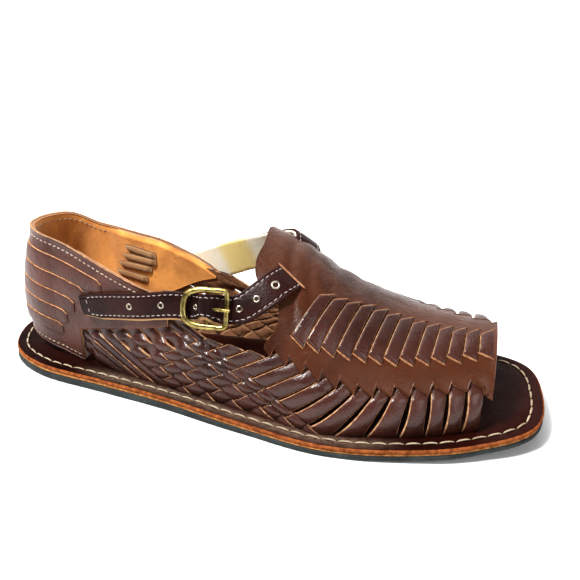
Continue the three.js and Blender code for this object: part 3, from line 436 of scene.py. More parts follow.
# Bump from a height, on top of an earlier bump where one is given.
def bumpNode(tree, height, distance, strength, before=None):
    node = tree.nodes.new("ShaderNodeBump")
    node.inputs["Strength"].default_value = strength
    node.inputs["Distance"].default_value = distance
    tree.links.new(height, node.inputs["Height"])
    if before is not None:
        tree.links.new(before, node.inputs["Normal"])
    return node.outputs["Normal"]


# Swings of each leather pattern per metre, and what all leathers share.
grainScale = dict(mottle=38, cloud=11, fine=420, scuff=150, gloss=70, wrinkle=95, pores=900)
leatherDepth = dict(wrinkle=0.0009, pores=0.00012, fine=0.0002, coatRough=0.22, rawRough=0.4, glossLow=-0.08,
                    glossHigh=0.16)


# Waxed leather: mottled colour, fine grain, soft wrinkles, pale scuffs, raw edges and a suede underside.
def leatherMaterial(name, look):
    material, tree, shader, coords = newMaterial(name)
    mottle = rangeNode(tree, noiseNode(tree, coords, grainScale["mottle"], 5, 0.6, 0.8), 0.3, 0.7)
    cloud = rangeNode(tree, noiseNode(tree, coords, grainScale["cloud"], 3, 0.5, 0.5), 0.35, 0.65)
    fine = noiseNode(tree, coords, grainScale["fine"], 5, 0.65)
    colour = mixNode(tree, mottle, look["deep"], look["top"])
    colour = mixNode(tree, mathNode(tree, "MULTIPLY", cloud, look["cloud"]), colour, look["light"])
    scuff = rangeNode(tree, noiseNode(tree, coords, grainScale["scuff"], 8, 0.75, 2.0), 0.62, 0.78)
    colour = mixNode(tree, mathNode(tree, "MULTIPLY", scuff, look["scuff"]), colour, look["pale"])
    dust = mathNode(tree, "MULTIPLY", attributeNode(tree, "dust"),
                    rangeNode(tree, fine, 0.25, 0.7, 0.25, 0.95))
    colour = mixNode(tree, dust, colour, look["pale"])
    edge, under = attributeNode(tree, "edge"), attributeNode(tree, "under")
    rawEdge = mixNode(tree, rangeNode(tree, fine, 0.3, 0.7), look["edgeDeep"], look["edge"])
    rawUnder = mixNode(tree, rangeNode(tree, fine, 0.35, 0.65), look["edgeDeep"], look["flesh"])
    ragged = mathNode(tree, "MULTIPLY", fine, 0.35)
    edgeMask = rangeNode(tree, mathNode(tree, "ADD", edge, ragged), 0.55, 0.75)
    colour = mixNode(tree, edgeMask, colour, rawEdge)
    colour = mixNode(tree, rangeNode(tree, under, 0.35, 0.6), colour, rawUnder)
    tree.links.new(colour, shader.inputs["Base Color"])
    raw = mathNode(tree, "MAXIMUM", edgeMask, rangeNode(tree, under, 0.35, 0.6))
    gloss = rangeNode(tree, noiseNode(tree, coords, grainScale["gloss"], 6, 0.6), 0.3, 0.75,
                      look["rough"] + leatherDepth["glossLow"], look["rough"] + leatherDepth["glossHigh"])
    rawRough = mathNode(tree, "MULTIPLY", raw, leatherDepth["rawRough"])
    tree.links.new(mathNode(tree, "ADD", gloss, rawRough), shader.inputs["Roughness"])
    coat = mathNode(tree, "MULTIPLY", mathNode(tree, "SUBTRACT", 1.0, raw), look["coat"])
    tree.links.new(coat, shader.inputs["Coat Weight"])
    shader.inputs["Coat Roughness"].default_value = leatherDepth["coatRough"]
    shader.inputs["IOR"].default_value = look["ior"]
    folds = noiseNode(tree, coords, grainScale["wrinkle"], 5, 0.6, 1.6)
    wrinkle = bumpNode(tree, folds, leatherDepth["wrinkle"], look["wrinkle"])
    pores = tree.nodes.new("ShaderNodeTexVoronoi")
    pores.inputs["Scale"].default_value = grainScale["pores"]
    tree.links.new(coords.outputs["Object"], pores.inputs["Vector"])
    grain = bumpNode(tree, pores.outputs["Distance"], leatherDepth["pores"], look["grain"], wrinkle)
    rough = bumpNode(tree, fine, leatherDepth["fine"], 0.5, grain)
    tree.links.new(rough, shader.inputs["Normal"])
    return material


# Suede: soft napped surface with small tufts and blotches, and painted shade darkening its edges.
def suedeMaterial(name, light, dark, fleck):
    material, tree, shader, coords = newMaterial(name)
    nap = noiseNode(tree, coords, 600, 6, 0.7)
    blotch = rangeNode(tree, noiseNode(tree, coords, 30, 5, 0.6, 0.6), 0.3, 0.72)
    colour = mixNode(tree, blotch, dark, light)
    colour = mixNode(tree, rangeNode(tree, nap, 0.55, 0.75, 0.0, 0.6), colour, fleck)
    speck = rangeNode(tree, noiseNode(tree, coords, 260, 4, 0.7), 0.58, 0.7, 0.0, 0.75)
    colour = mixNode(tree, speck, colour, dark)
    # Painted shade: the edges of each piece are darkened toward a deep brown, standing in for the shade in
    # creases and gaps.
    colour = mixNode(tree, rangeNode(tree, attributeNode(tree, "edge"), 0.3, 0.8, 0.0, 0.85), colour,
                     (0.06, 0.025, 0.01))
    tree.links.new(colour, shader.inputs["Base Color"])
    shader.inputs["Roughness"].default_value = 0.92
    shader.inputs["Sheen Weight"].default_value = 0.35
    shader.inputs["Sheen Roughness"].default_value = 0.5
    shader.inputs["Specular IOR Level"].default_value = 0.2
    first = bumpNode(tree, nap, 0.0003, 0.7)
    second = bumpNode(tree, noiseNode(tree, coords, 160, 4, 0.6), 0.0004, 0.5, first)
    tree.links.new(second, shader.inputs["Normal"])
    return material


# Lining of the ankle strap: tan at the outer edge, cream suede inside with a yellower patch.
def liningMaterial(name, tan, cream, yellow, dark):
    material, tree, shader, coords = newMaterial(name)
    nap = noiseNode(tree, coords, 500, 6, 0.7)
    blotch = rangeNode(tree, noiseNode(tree, coords, 60, 5, 0.6, 0.6), 0.35, 0.75, 0.0, 0.45)
    colour = mixNode(tree, attributeNode(tree, "cream"), tan, cream)
    colour = mixNode(tree, mathNode(tree, "MULTIPLY", attributeNode(tree, "patch"), 0.9), colour, yellow)
    colour = mixNode(tree, blotch, colour, dark, "MULTIPLY")
    colour = mixNode(tree, rangeNode(tree, nap, 0.56, 0.72, 0.0, 0.35), colour, dark, "MULTIPLY")
    tree.links.new(colour, shader.inputs["Base Color"])
    shader.inputs["Roughness"].default_value = 0.93
    shader.inputs["Specular IOR Level"].default_value = 0.15
    tree.links.new(bumpNode(tree, nap, 0.0003, 0.8), shader.inputs["Normal"])
    return material


# Waxed thread: cream strands twisted round each other, with painted shade darkening the hollows between them.
def threadMaterial(name, light, dark):
    material, tree, shader, coords = newMaterial(name)
    wave = tree.nodes.new("ShaderNodeTexWave")
    wave.bands_direction = "DIAGONAL"
    wave.inputs["Scale"].default_value = 900
    wave.inputs["Distortion"].default_value = 1.5
    tree.links.new(coords.outputs["Object"], wave.inputs["Vector"])
    dirt = rangeNode(tree, noiseNode(tree, coords, 130, 5, 0.6), 0.35, 0.75)
    colour = mixNode(tree, mathNode(tree, "MULTIPLY", dirt, 0.75), light, dark)
    # Painted shade: the twist hollows, taken from the same wave as the bump, are darkened.
    colour = mixNode(tree, mathNode(tree, "MULTIPLY", wave.outputs["Fac"], 0.25), colour, dark)
    tree.links.new(colour, shader.inputs["Base Color"])
    shader.inputs["Roughness"].default_value = 0.7
    tree.links.new(bumpNode(tree, wave.outputs["Fac"], 0.00015, 0.6), shader.inputs["Normal"])
    return material


# Worn brass: warm metal with tarnish, fine scratches and brighter rubbed places.
def brassMaterial(name, bright, dull):
    material, tree, shader, coords = newMaterial(name)
    tarnish = rangeNode(tree, noiseNode(tree, coords, 160, 6, 0.65, 0.8), 0.35, 0.7)
    tree.links.new(mixNode(tree, tarnish, bright, dull), shader.inputs["Base Color"])
    shader.inputs["Metallic"].default_value = 1.0
    tree.links.new(rangeNode(tree, noiseNode(tree, coords, 420, 6, 0.7), 0.3, 0.7, 0.2, 0.45),
                   shader.inputs["Roughness"])
    tree.links.new(bumpNode(tree, noiseNode(tree, coords, 700, 4, 0.7, 3.0), 0.00006, 0.35),
                   shader.inputs["Normal"])
    return material


# Cut rubber: near black with a green cast, rough and dusty toward the floor.
def rubberMaterial(name):
    material, tree, shader, coords = newMaterial(name)
    blotch = rangeNode(tree, noiseNode(tree, coords, 55, 6, 0.65), 0.35, 0.7)
    colour = mixNode(tree, blotch, (0.008, 0.011, 0.011), (0.03, 0.04, 0.038))
    dust = rangeNode(tree, noiseNode(tree, coords, 240, 7, 0.75, 1.2), 0.56, 0.76, 0.0, 0.5)
    colour = mixNode(tree, dust, colour, (0.16, 0.14, 0.11))
    tree.links.new(colour, shader.inputs["Base Color"])
    shader.inputs["Roughness"].default_value = 0.78
    first = bumpNode(tree, noiseNode(tree, coords, 210, 6, 0.7), 0.0008, 0.8)
    second = bumpNode(tree, noiseNode(tree, coords, 900, 3, 0.6), 0.0002, 0.6, first)
    tree.links.new(second, shader.inputs["Normal"])
    return material


# Colours and gloss of each leather; edge and flesh are its raw cut and its rough side.
looks = dict(
    vamp=dict(top=(0.06, 0.0175, 0.0072), deep=(0.024, 0.0068, 0.0032), light=(0.115, 0.038, 0.0165),
              pale=(0.34, 0.2, 0.13), edge=(0.42, 0.22, 0.11), edgeDeep=(0.2, 0.08, 0.04),
              flesh=(0.45, 0.24, 0.11), cloud=0.5, scuff=0.16, rough=0.32, coat=0.05, wrinkle=0.6, grain=0.5,
              ior=1.28),
    strip=dict(top=(0.045, 0.0132, 0.0088), deep=(0.018, 0.0055, 0.004), light=(0.08, 0.025, 0.0165),
               pale=(0.26, 0.17, 0.15), edge=(0.6, 0.35, 0.18), edgeDeep=(0.26, 0.12, 0.06),
               flesh=(0.17, 0.08, 0.036), cloud=0.55, scuff=0.2, rough=0.28, coat=0.1, wrinkle=0.55,
               grain=0.55, ior=1.45),
    counter=dict(top=(0.085, 0.03, 0.021), deep=(0.042, 0.015, 0.011), light=(0.125, 0.05, 0.036),
                 pale=(0.28, 0.18, 0.14), edge=(0.6, 0.33, 0.16), edgeDeep=(0.26, 0.12, 0.06),
                 flesh=(0.17, 0.08, 0.036), cloud=0.6, scuff=0.3, rough=0.36, coat=0.03, wrinkle=0.6,
                 grain=0.6, ior=1.36),
    strap=dict(top=(0.026, 0.0072, 0.0058), deep=(0.01, 0.003, 0.0028), light=(0.045, 0.013, 0.0105),
               pale=(0.16, 0.09, 0.07), edge=(0.045, 0.018, 0.012), edgeDeep=(0.02, 0.008, 0.006),
               flesh=(0.3, 0.16, 0.08), cloud=0.4, scuff=0.16, rough=0.34, coat=0.02, wrinkle=0.4, grain=0.6,
               ior=1.22),
    insole=dict(top=(0.014, 0.0034, 0.0024), deep=(0.006, 0.0016, 0.0012), light=(0.036, 0.0068, 0.004),
                pale=(0.17, 0.115, 0.085), edge=(0.34, 0.11, 0.035), edgeDeep=(0.13, 0.038, 0.013),
                flesh=(0.3, 0.12, 0.05), cloud=0.6, scuff=0.12, rough=0.4, coat=0.0, wrinkle=0.15,
                grain=0.35, ior=1.1),
    midsole=dict(top=(0.42, 0.2, 0.07), deep=(0.2, 0.08, 0.025), light=(0.5, 0.27, 0.11),
                 pale=(0.55, 0.38, 0.2), edge=(0.5, 0.235, 0.08), edgeDeep=(0.2, 0.075, 0.022),
                 flesh=(0.5, 0.28, 0.12), cloud=0.5, scuff=0.3, rough=0.6, coat=0.0, wrinkle=0.4, grain=0.5,
                 ior=1.3))
leathers = {key: leatherMaterial("leather_" + key, look) for key, look in looks.items()}
tanSuede = suedeMaterial("suede_tan", (0.9, 0.4, 0.1), (0.42, 0.16, 0.04), (0.95, 0.52, 0.18))
strapLining = liningMaterial("suede_lining", (0.5, 0.3, 0.15), (0.96, 0.92, 0.76), (0.9, 0.72, 0.27),
                             (0.84, 0.76, 0.66))
creamThread = threadMaterial("thread_cream", (0.52, 0.43, 0.3), (0.22, 0.14, 0.08))
paleThread = threadMaterial("thread_pale", (0.5, 0.42, 0.34), (0.22, 0.14, 0.1))
strapThread = threadMaterial("thread_strap", (0.46, 0.4, 0.38), (0.2, 0.14, 0.12))
brass = brassMaterial("brass_worn", (0.46, 0.37, 0.14), (0.13, 0.095, 0.03))
dullBrass = brassMaterial("brass_dull", (0.5, 0.45, 0.36), (0.14, 0.11, 0.08))
rubber = rubberMaterial("rubber_cut")
print("stage: materials", flush=True)

# Sole layers.

soleLook = dict(stations=300, groove=0.5, grooveInset=5.8, grooveWidth=0.9, stitchPitch=7.3,
                stitchRadius=0.5, stitchShare=0.93, spineRear=42, spineFront=48, rowReach=12.0,
                dustInset=5.5, dustWidth=3.5, dustRear=55, dustFront=235, endPull=0.99998)


# Both runs of the outline at the same x places, so that the rows meet along the spine.
def outlineLoop(stations):
    turn = np.linspace(0, math.pi, stations + 2)[1:-1]
    x = middle[0] - (toeX - heelX) / 2 * np.cos(turn) * soleLook["endPull"]
    outer = np.stack([x, soleEdge(-1, x)], axis=1)
    inner = np.stack([x, soleEdge(1, x)], axis=1)
    loop = np.concatenate([outer, inner[::-1]])
    ahead, behind = np.roll(loop, -1, axis=0), np.roll(loop, 1, axis=0)
    along = unit(ahead - behind)
    inward = np.stack([-along[:, 1], along[:, 0]], axis=1)
    spineX = np.clip(x, heelX + soleLook["spineRear"], toeX - soleLook["spineFront"])
    spineY = (soleEdge(-1, spineX) + soleEdge(1, spineX)) / 2
    spine = np.stack([spineX, spineY], axis=1)
    return loop, inward, np.concatenate([spine, spine[::-1]])


loop, inward, spine = outlineLoop(soleLook["stations"])


# Layer of the sole: rows run from the spine underneath to the edge, up it and back to the spine on top.
# Each row is (inset from the edge or share to the spine, share of the height, edge, under).
def soleLayer(name, bottomAt, topAt, rows, material, wobble=0.0, topDip=None):
    rings, edges, unders, dusts = [], [], [], []
    turn, still = np.arange(len(loop)), np.zeros(len(loop))
    wave = ripple(turn / 9.0, still, 3) + 0.5 * ripple(turn / 2.5, still, 4)
    for inset, share, height, edge, under in rows:
        plan = loop + inward * (inset + wobble * wave[:, None] * (height not in (0, 1)))
        inner = loop + inward * soleLook["rowReach"]
        plan = np.where(share > 0, lerp(inner, spine, share), plan)
        x = plan[:, 0]
        z = lerp(bottomAt(x), topAt(x), height)
        if topDip is not None and height >= 1:
            z = z - topDip(inset if share == 0 else 99.0, plan)
        rings.append(np.column_stack([plan, z]))
        edges.append(np.full(len(loop), edge))
        unders.append(np.full(len(loop), under))
        worn = np.exp(-((inset - soleLook["dustInset"]) / soleLook["dustWidth"])**2)
        worn = worn * (share == 0) * (height >= 1)
        dusts.append(worn * ease((x - soleLook["dustRear"]) / 25) * ease((soleLook["dustFront"] - x) / 30))
    points = np.stack(rings)
    n, m = points.shape[:2]
    obj = buildMesh(name, points.reshape(-1, 3), gridQuads(n, m, wrapM=True), [],
                    dict(edge=np.stack(edges), under=np.stack(unders), dust=np.stack(dusts)), material)
    closeSeam(obj)
    return obj


# Points that meet along the spine are joined, and faces without area go.
def closeSeam(obj):
    work = bmesh.new()
    work.from_mesh(obj.data)
    bmesh.ops.remove_doubles(work, verts=work.verts, dist=2e-6)
    bmesh.ops.dissolve_degenerate(work, edges=work.edges, dist=1e-7)
    work.to_mesh(obj.data)
    work.free()


# Rows of the three layers: first underneath from the spine outward, then up the edge, then over the top.
underRows = [(0, 1.0, 0, 0, 1), (0, 0.66, 0, 0, 1), (0, 0.33, 0, 0, 1), (12.0, 0, 0, 0, 1),
             (6.0, 0, 0, 0, 1)]
topRows = [(12.0, 0, 1, 0, 0), (0, 0.2, 1, 0, 0), (0, 0.45, 1, 0, 0), (0, 0.72, 1, 0, 0), (0, 1.0, 1, 0, 0)]
outsoleRows = underRows + [(0.7, 0, 0.0, 1, 0), (0.1, 0, 0.14, 1, 0), (0.0, 0, 0.4, 1, 0),
                           (0.15, 0, 0.7, 1, 0), (0.5, 0, 1, 1, 0), (6.0, 0, 1, 1, 0)] + topRows
midRows = underRows + [(0.9, 0, 0.0, 1, 0), (0.45, 0, 0.2, 1, 0), (0.4, 0, 0.55, 1, 0), (0.6, 0, 0.85, 1, 0),
                       (1.0, 0, 1, 1, 0), (6.0, 0, 1, 1, 0)] + topRows
insoleRows = underRows + [(0.7, 0, 0.0, 1, 0), (0.2, 0, 0.2, 1, 0), (0.12, 0, 0.5, 1, 0),
                          (0.3, 0, 0.8, 1, 0), (0.75, 0, 0.96, 0.6, 0), (1.3, 0, 1, 0, 0), (3.0, 0, 1, 0, 0),
                          (4.6, 0, 1, 0, 0), (5.2, 0, 1, 0, 0), (5.8, 0, 1, 0, 0), (6.4, 0, 1, 0, 0),
                          (7.1, 0, 1, 0, 0), (9.0, 0, 1, 0, 0)] + topRows


# Shallow channel that the stitches lie in.
def stitchChannel(inset, plan):
    return soleLook["groove"] * np.exp(-((inset - soleLook["grooveInset"]) / soleLook["grooveWidth"])**2)


addPiece(soleLayer("outsole_rubber", springAt, outsoleTop, outsoleRows, rubber, 0.35), "rubber_sole",
         "outsole")
addPiece(soleLayer("midsole_layer", outsoleTop, midsoleTop, midRows, leathers["midsole"], 0.2),
         "midsole_leather", "midsole")
insoleObj = soleLayer("insole_footbed", midsoleTop, insoleTop, insoleRows, leathers["insole"], 0.1,
                      stitchChannel)
addPiece(insoleObj, "insole_leather", "insole")


# Stitches as short bent capsules: each runs along its seam, stands up in the middle and dips at both ends.
def stitchPieces(name, centres, along, up, length, radius, rise, material, dip=0.8, flat=0.75):
    n = len(centres)
    t = np.linspace(-1, 1, 9)
    swell = np.sqrt(np.clip(1 - np.abs(t)**3.2, 0.03, 1)) * radius
    turn = np.linspace(0, 2 * math.pi, 8, endpoint=False)
    across = unit(np.cross(up, along))
    height = rise * (1 - dip * 2.2 * np.abs(t)**2.6)
    body = centres[:, None, None] + along[:, None, None] * (t[None, :, None, None] * length / 2)
    swell = swell[None, :, None, None]
    bulge = (np.sin(turn) * flat)[None, None, :, None] * swell
    body = body + up[:, None, None] * (height[None, :, None, None] + bulge)
    body = body + across[:, None, None] * (np.cos(turn)[None, None, :, None] * swell)
    body = body + across[:, None, None] * rng.normal(0, 0.12, (n, 1, 1, 1)) * t[None, :, None, None]
    points, quads, tris, extra = loftMany(body, {})
    return buildMesh(name, points, quads, tris, extra, material)


# Places along a path at an even pitch, with the direction there and their length from its start.
def evenly(path, pitch, closed=False):
    if closed:
        path = np.concatenate([path, path[:1]])
    run = runAlong(path)
    count = int(run[-1] // pitch)
    at = (np.arange(count) + 0.5) * run[-1] / count
    ahead, behind = readAlong(at + 0.5, run, path), readAlong(at - 0.5, run, path)
    return readAlong(at, run, path), unit(ahead - behind), at


seamPlan = loop + inward * soleLook["grooveInset"]
seam = np.column_stack([seamPlan, insoleTop(seamPlan[:, 0]) - soleLook["groove"] + 0.35])
spots, along = evenly(seam, soleLook["stitchPitch"], closed=True)[:2]
upward = unit(np.cross(np.cross(along, np.array([0, 0, 1.0])), along))
addPiece(stitchPieces("sole_stitches", spots, along, upward,
                      soleLook["stitchPitch"] * soleLook["stitchShare"], soleLook["stitchRadius"], 0.3,
                      creamThread), "insole_leather")
print("stage: sole", flush=True)

# Woven upper.

weave = dict(panelLift=0.9, lift=0.9, thickness=1.7, pitch=7.6, slitFront=256.8, leanStart=3, leanStep=6.3,
             outerSlit=21.0, innerSlit=48.0, climb=2.1, climbStart=6, slitDepth=4.4, tuck=6.0, front=263.6,
             strips=15, panelStrips=12, diagonals=8, diagonalStart=59.45, firstDiagonal=-2,
             heelPatch=(-2.9, -0.9), patchTuck=4.0, looseFrom=1.7, apron=8.0, halfWidth=0.46, waist=0.15,
             belly=1.3, crown=0.75, crease=0.16, shingle=0.35, overEnd=1.02, freeStart=0.055, freeStep=0.035,
             sunk=-1.5, slitLift=-0.9, baseLift=0.3, counterLift=-1.35, bandGap=0.03)
diagonal = dict(pitch=9.1, spread=1.9, rise=20, climb=2.4, fall=4.4, foot=94.3, footPitch=8.5, footGrow=0.72,
                footSpread=11, bend=6)


# Slits: x of slit i, and its height, which climbs toward the heel outside and falls inside.
def slitX(i):
    return weave["slitFront"] - weave["pitch"] * i


def slitRise(side, i):
    base = weave["outerSlit"] if side < 0 else weave["innerSlit"]
    return base + weave["climb"] * np.maximum(0, i - weave["climbStart"]) * (1 if side < 0 else -0.5)


# x of a strip's foot: the further back, the more it leans toward the heel.
def footX(i):
    return slitX(i) - weave["leanStep"] * np.maximum(0, i - weave["leanStart"])


# Place on strip i: straight from its slit at t = 0 to the insole at t = 1; inside, it leans only low down.
def stripPlace(side, i, t):
    v = slitRise(side, i) * (1 - t)
    bow = t if side < 0 else 1 - np.sign(v) * np.minimum(1, np.abs(v) / weave["outerSlit"])**1.3
    return lerp(slitX(i), footX(i), bow), v


# Place on diagonal j: straight from the counter's lower edge to the insole; past the bend it lies flatter.
def diagonalPlace(j, t):
    past, near = np.maximum(0, j - diagonal["bend"]), np.minimum(j, diagonal["bend"])
    topX = weave["diagonalStart"] + diagonal["pitch"] * j + diagonal["spread"] * past
    topV = diagonal["rise"] + diagonal["climb"] * j - diagonal["fall"] * past
    foot = diagonal["foot"] + diagonal["footPitch"] * near + diagonal["footGrow"] * near**2
    foot = foot + diagonal["footSpread"] * past
    return lerp(topX, foot, t), topV * (1 - t)


# Number of the strip or diagonal through a place, by halving the range.
def numberAt(family, low, high, x, v):
    a, b = np.full(np.shape(x), float(low)), np.full(np.shape(x), float(high))
    sign = np.sign(family(np.array(float(high)), 1)[0] - family(np.array(float(low)), 1)[0])
    for _ in range(22):
        mid = (a + b) / 2
        rise = family(mid, 0)[1]
        there = family(mid, np.clip(1 - v / rise, -0.5, 1))[0]
        ahead = (there - x) * sign > 0
        a, b = np.where(ahead, a, mid), np.where(ahead, mid, b)
    return (a + b) / 2


# Height of a band that goes over and under its neighbours: a sine made flatter at its turns.
def overUnder(wave):
    return weave["lift"] * np.sign(wave) * np.abs(wave)**0.6


# What all bands of the weave share: rounded tops, folds of their own and their thickness.
def bandBody(corners, x, v, seed):
    crown = weave["crown"] * (1 - corners[:, 0]**2)[None, :] * (corners[:, 1] > 0)[None, :]
    crease = weave["crease"] * ripple(x / 3.2, v / 3.2, seed)
    return corners[:, 1][None, :] * weave["thickness"] + crown + crease


# One strip of the weave as a band: rings along t, corners from bandLoop, the lift going over and under.
def stripRings(side, i, steps=56):
    corners = bandLoop(9)
    free = max(0, i + 1 - weave["panelStrips"])
    start = weave["freeStart"] + weave["freeStep"] * free if free else -weave["tuck"] / slitRise(side, i)
    t = np.linspace(start, weave["overEnd"], steps)[:, None]
    half = weave["halfWidth"] + 0.015 * math.sin(2.3 * i)
    half = half * (1 - weave["waist"] * np.sin(math.pi * np.clip(t, 0, 1)) * ease((9 - i) / 3))
    x, v = stripPlace(side, i - half * corners[:, 0][None, :] + 0 * t, t + 0 * corners[:, 0][None, :])
    j = numberAt(diagonalPlace, -3, weave["diagonals"] + 1, x, np.maximum(v, 0))
    inWeave = ease((weave["diagonals"] + 0.6 - j) / 0.8)
    outOfSlit = np.ones_like(t) if free else ease((t + 0.06) / 0.24)
    sign = 1 if i % 2 == 0 else -1
    wave = overUnder(sign * np.sin(math.pi * j))
    wave = lerp(weave["sunk"], wave, ease((j - weave["looseFrom"]) / 0.4))
    belly = weave["belly"] * np.sin(math.pi * np.clip(t, 0, 1)) * (1 - inWeave) + 0.5
    lift = lerp(belly + 0 * x, wave + weave["baseLift"], inWeave)
    lift = lerp(weave["slitLift"] + 0 * x, lift, outOfSlit)
    shingle = weave["shingle"] * corners[:, 0][None, :] * (1 - inWeave)
    lift = lift + bandBody(corners, x, v, 20 + i) - shingle
    return onSurface(sideways(side, x), np.maximum(v, -1.0), lift), corners


# One diagonal as a band. Those behind the first start under the heel counter and lie over every strip.
def diagonalRings(side, j, steps=64):
    corners = bandLoop(9)
    share = np.linspace(-0.2 if j >= 0 else 0.0, weave["overEnd"], steps)[:, None]
    low, high = weave["heelPatch"] if j == weave["firstDiagonal"] else (weave["bandGap"] + j, 1
                                                                        - weave["bandGap"] + j)
    number = lerp(low, high, (corners[:, 0][None, :] + 1) / 2) + 0 * share
    step = weave["diagonalStart"]
    if j < 0:
        topX, lowX = diagonalPlace(number, 0.0)[0], diagonalPlace(number, 1.0)[0]
        t = lerp((step - weave["patchTuck"] - topX) / (lowX - topX), weave["overEnd"], share)
    else:
        t = share + 0 * number
    x, v = diagonalPlace(number, t)
    i = numberAt(lambda n, u: stripPlace(side, n, u), -1, weave["strips"] + 4, x, np.maximum(v, 0))
    sign = 1 if j % 2 == 0 else -1
    wave = overUnder(-sign * np.cos(math.pi * i))
    if j < weave["looseFrom"]:
        wave = 0.25 - 0.3 * (j + 2) / 4 + 0 * x
    out = ease((x - step - 3) / 6) if j < 0 else ease((t - 0.02) / 0.18)
    lift = lerp(weave["counterLift"] + 0 * x, wave + weave["baseLift"], out) + bandBody(corners, x, v, 60 + j)
    return onSurface(sideways(side, x), np.maximum(v, -1.0), lift), corners


# One piece from many bands, each given by a function that returns its rings and corners.
def bandsPiece(name, makers, material, slotName, *nodes):
    rings, corners = zip(*[make() for make in makers])
    points, quads, tris, extra = loftMany(np.stack(rings),
                                          dict(edge=corners[0][:, 2], under=corners[0][:, 3]))
    addPiece(buildMesh(name, points, quads, tris, extra, material), slotName, *nodes)


for side, word in ((-1, "outer"), (1, "inner")):
    bandsPiece("strips_" + word, [lambda i=i: stripRings(side, i) for i in range(weave["strips"])],
               leathers["strip"], "upper_leather")
    numbers = range(weave["firstDiagonal"], weave["diagonals"])
    bandsPiece("diagonals_" + word, [lambda j=j: diagonalRings(side, j) for j in numbers], leathers["strip"],
               "upper_leather")
print("stage: strips", flush=True)

# Rear edge of the vamp: share of the way up to the crown, and x as a share of the length.
vampRear = np.array([(0.0, 0.572), (0.35, 0.565), (0.46, 0.58), (0.57, 0.574), (0.65, 0.536), (0.74, 0.526),
                     (0.86, 0.528), (1.0, 0.522)])


# Lower edge of the vamp: it falls along each slit toward the toe and steps back up at the next one.
def vampLow(side, x):
    i = (weave["slitFront"] - x) / weave["pitch"]
    share = i - np.floor(i + 0.5) + 0.5
    step = np.interp(share, [0, 0.06, 0.9, 1.0], [-0.4, -0.4, 0.6, -0.4])
    apron = weave["apron"] * ease((x - weave["slitFront"] - 2.6) / 3.0) * (side < 0)
    return slitRise(side, np.maximum(i, 0)) + weave["slitDepth"] * step - apron


# Wrinkles where the vamp bends: soft troughs across the instep, low being where they fade out.
creases = dict(x=[172, 181, 191, 202, 214], depth=[0.7, 0.55, 0.9, 0.75, 0.5],
               width=[2.6, 2.4, 3.4, 4.0, 4.5], low=0.4, bow=6, bends=5.0)


# Depth of the wrinkles: bell curves across x, each bowed with the height and faded out low down.
def vampCrease(x, level):
    total = 0 * x
    for at, depth, width in zip(creases["x"], creases["depth"], creases["width"]):
        bow = at + creases["bow"] * np.sin(level * creases["bends"])
        total = total - depth * np.exp(-((x - bow) / width)**2) * ease((level - creases["low"]) / 0.2)
    return total


panel = dict(half=0.95, wave=0.22, lip=0.3, lipShare=1 / 30, roll=0.5, rollWidth=1.6)


# Vamp panel: from the outer slits over the crown to the inner slits, as a plate with rounded raw edges.
def vampPanel(columns=300, rows=76):
    u = np.linspace(0, 1, columns)[:, None]
    rear = vampRear[0, 1] * shoe["length"]
    halves = []
    for side in (-1, 1):
        edgeX = lerp(rear, weave["front"], u)
        share = vampLow(side, edgeX) / girth(side, edgeX)
        up = np.linspace(0, 1, rows)[None, :]
        level = lerp(share, 1.0, up)
        back = tableAt(vampRear[:, 0], vampRear[:, 1], level) * shoe["length"]
        x = lerp(back, weave["front"], u + 0 * level)
        v = level * girth(side, x)
        halves.append((sideways(side, x), v, x, level, up + 0 * x))
    outer, inner = halves
    join = lambda k: np.concatenate([outer[k], inner[k][:, ::-1][:, 1:]], axis=1)
    s, v, x, level, up = (join(k) for k in range(5))
    lift = weave["panelLift"] + panel["wave"] * ripple(x / 9, v / 9, 5) + vampCrease(x, level)
    lift = lift + panel["lip"] * np.exp(-(up / panel["lipShare"])**2)
    lift = lift + panel["roll"] * np.exp(-((weave["front"] - x) / panel["rollWidth"])**2)
    point, normal = surfaceFrame(s, v)
    return plate(*(point + normal * (lift + side * panel["half"])[..., None] for side in (1, -1)))


# Plate between two grids: its rim has two rings between top and bottom that stand out a little.
def plate(top, low):
    n, m = top.shape[:2]
    around = np.concatenate([np.arange(m), np.arange(1, n) * m + m - 1,
                             (n - 1) * m + np.arange(m - 2, -1, -1), np.arange(n - 2, 0, -1) * m])
    topFlat, lowFlat = top.reshape(-1, 3), low.reshape(-1, 3)
    inside = np.concatenate([top[1, :], top[1:, m - 2], top[n - 2, m - 2::-1], top[n - 2:0:-1, 1]])
    outward = unit(topFlat[around] - inside[:len(around)])
    rings = [lerp(topFlat[around], lowFlat[around], share) + outward * 0.22 for share in (0.22, 0.78)]
    points = np.concatenate([topFlat, lowFlat, *rings])
    quads = gridQuads(n, m)
    k = len(around)
    ring = np.arange(k)
    turned = (ring + 1) % k
    base = 2 * n * m
    sides = [np.stack([around[ring], around[turned], base + turned, base + ring], axis=1),
             np.stack([base + ring, base + turned, base + k + turned, base + k + ring], axis=1),
             np.stack([base + k + ring, base + k + turned, n * m + around[turned], n * m + around[ring]],
                      axis=1)]
    allQuads = np.concatenate([quads[:, ::-1], quads + n * m, *sides])
    edge = np.concatenate([np.zeros(2 * n * m), np.ones(2 * k)])
    under = np.concatenate([np.zeros(n * m), np.ones(n * m), np.zeros(k), np.full(k, 0.2)])
    return points, allQuads, dict(edge=edge, under=under)


points, quads, extra = vampPanel()
addPiece(buildMesh("vamp_panel", points, quads, [], extra, leathers["vamp"]), "upper_leather", "upper")
print("stage: vamp", flush=True)

ladder = dict(front=259.0, count=13, low=31.0, high=51.0, tooth=4.6, dive=2.2, lowPitch=6.7, highPitch=6.1,
              lowClimb=0.9, lowFrom=6, highClimb=1.85, highTo=9, lowHalf=3.05, highHalf=2.9, highTooth=0.8,
              lipHalf=3.4, lipRadius=0.5)


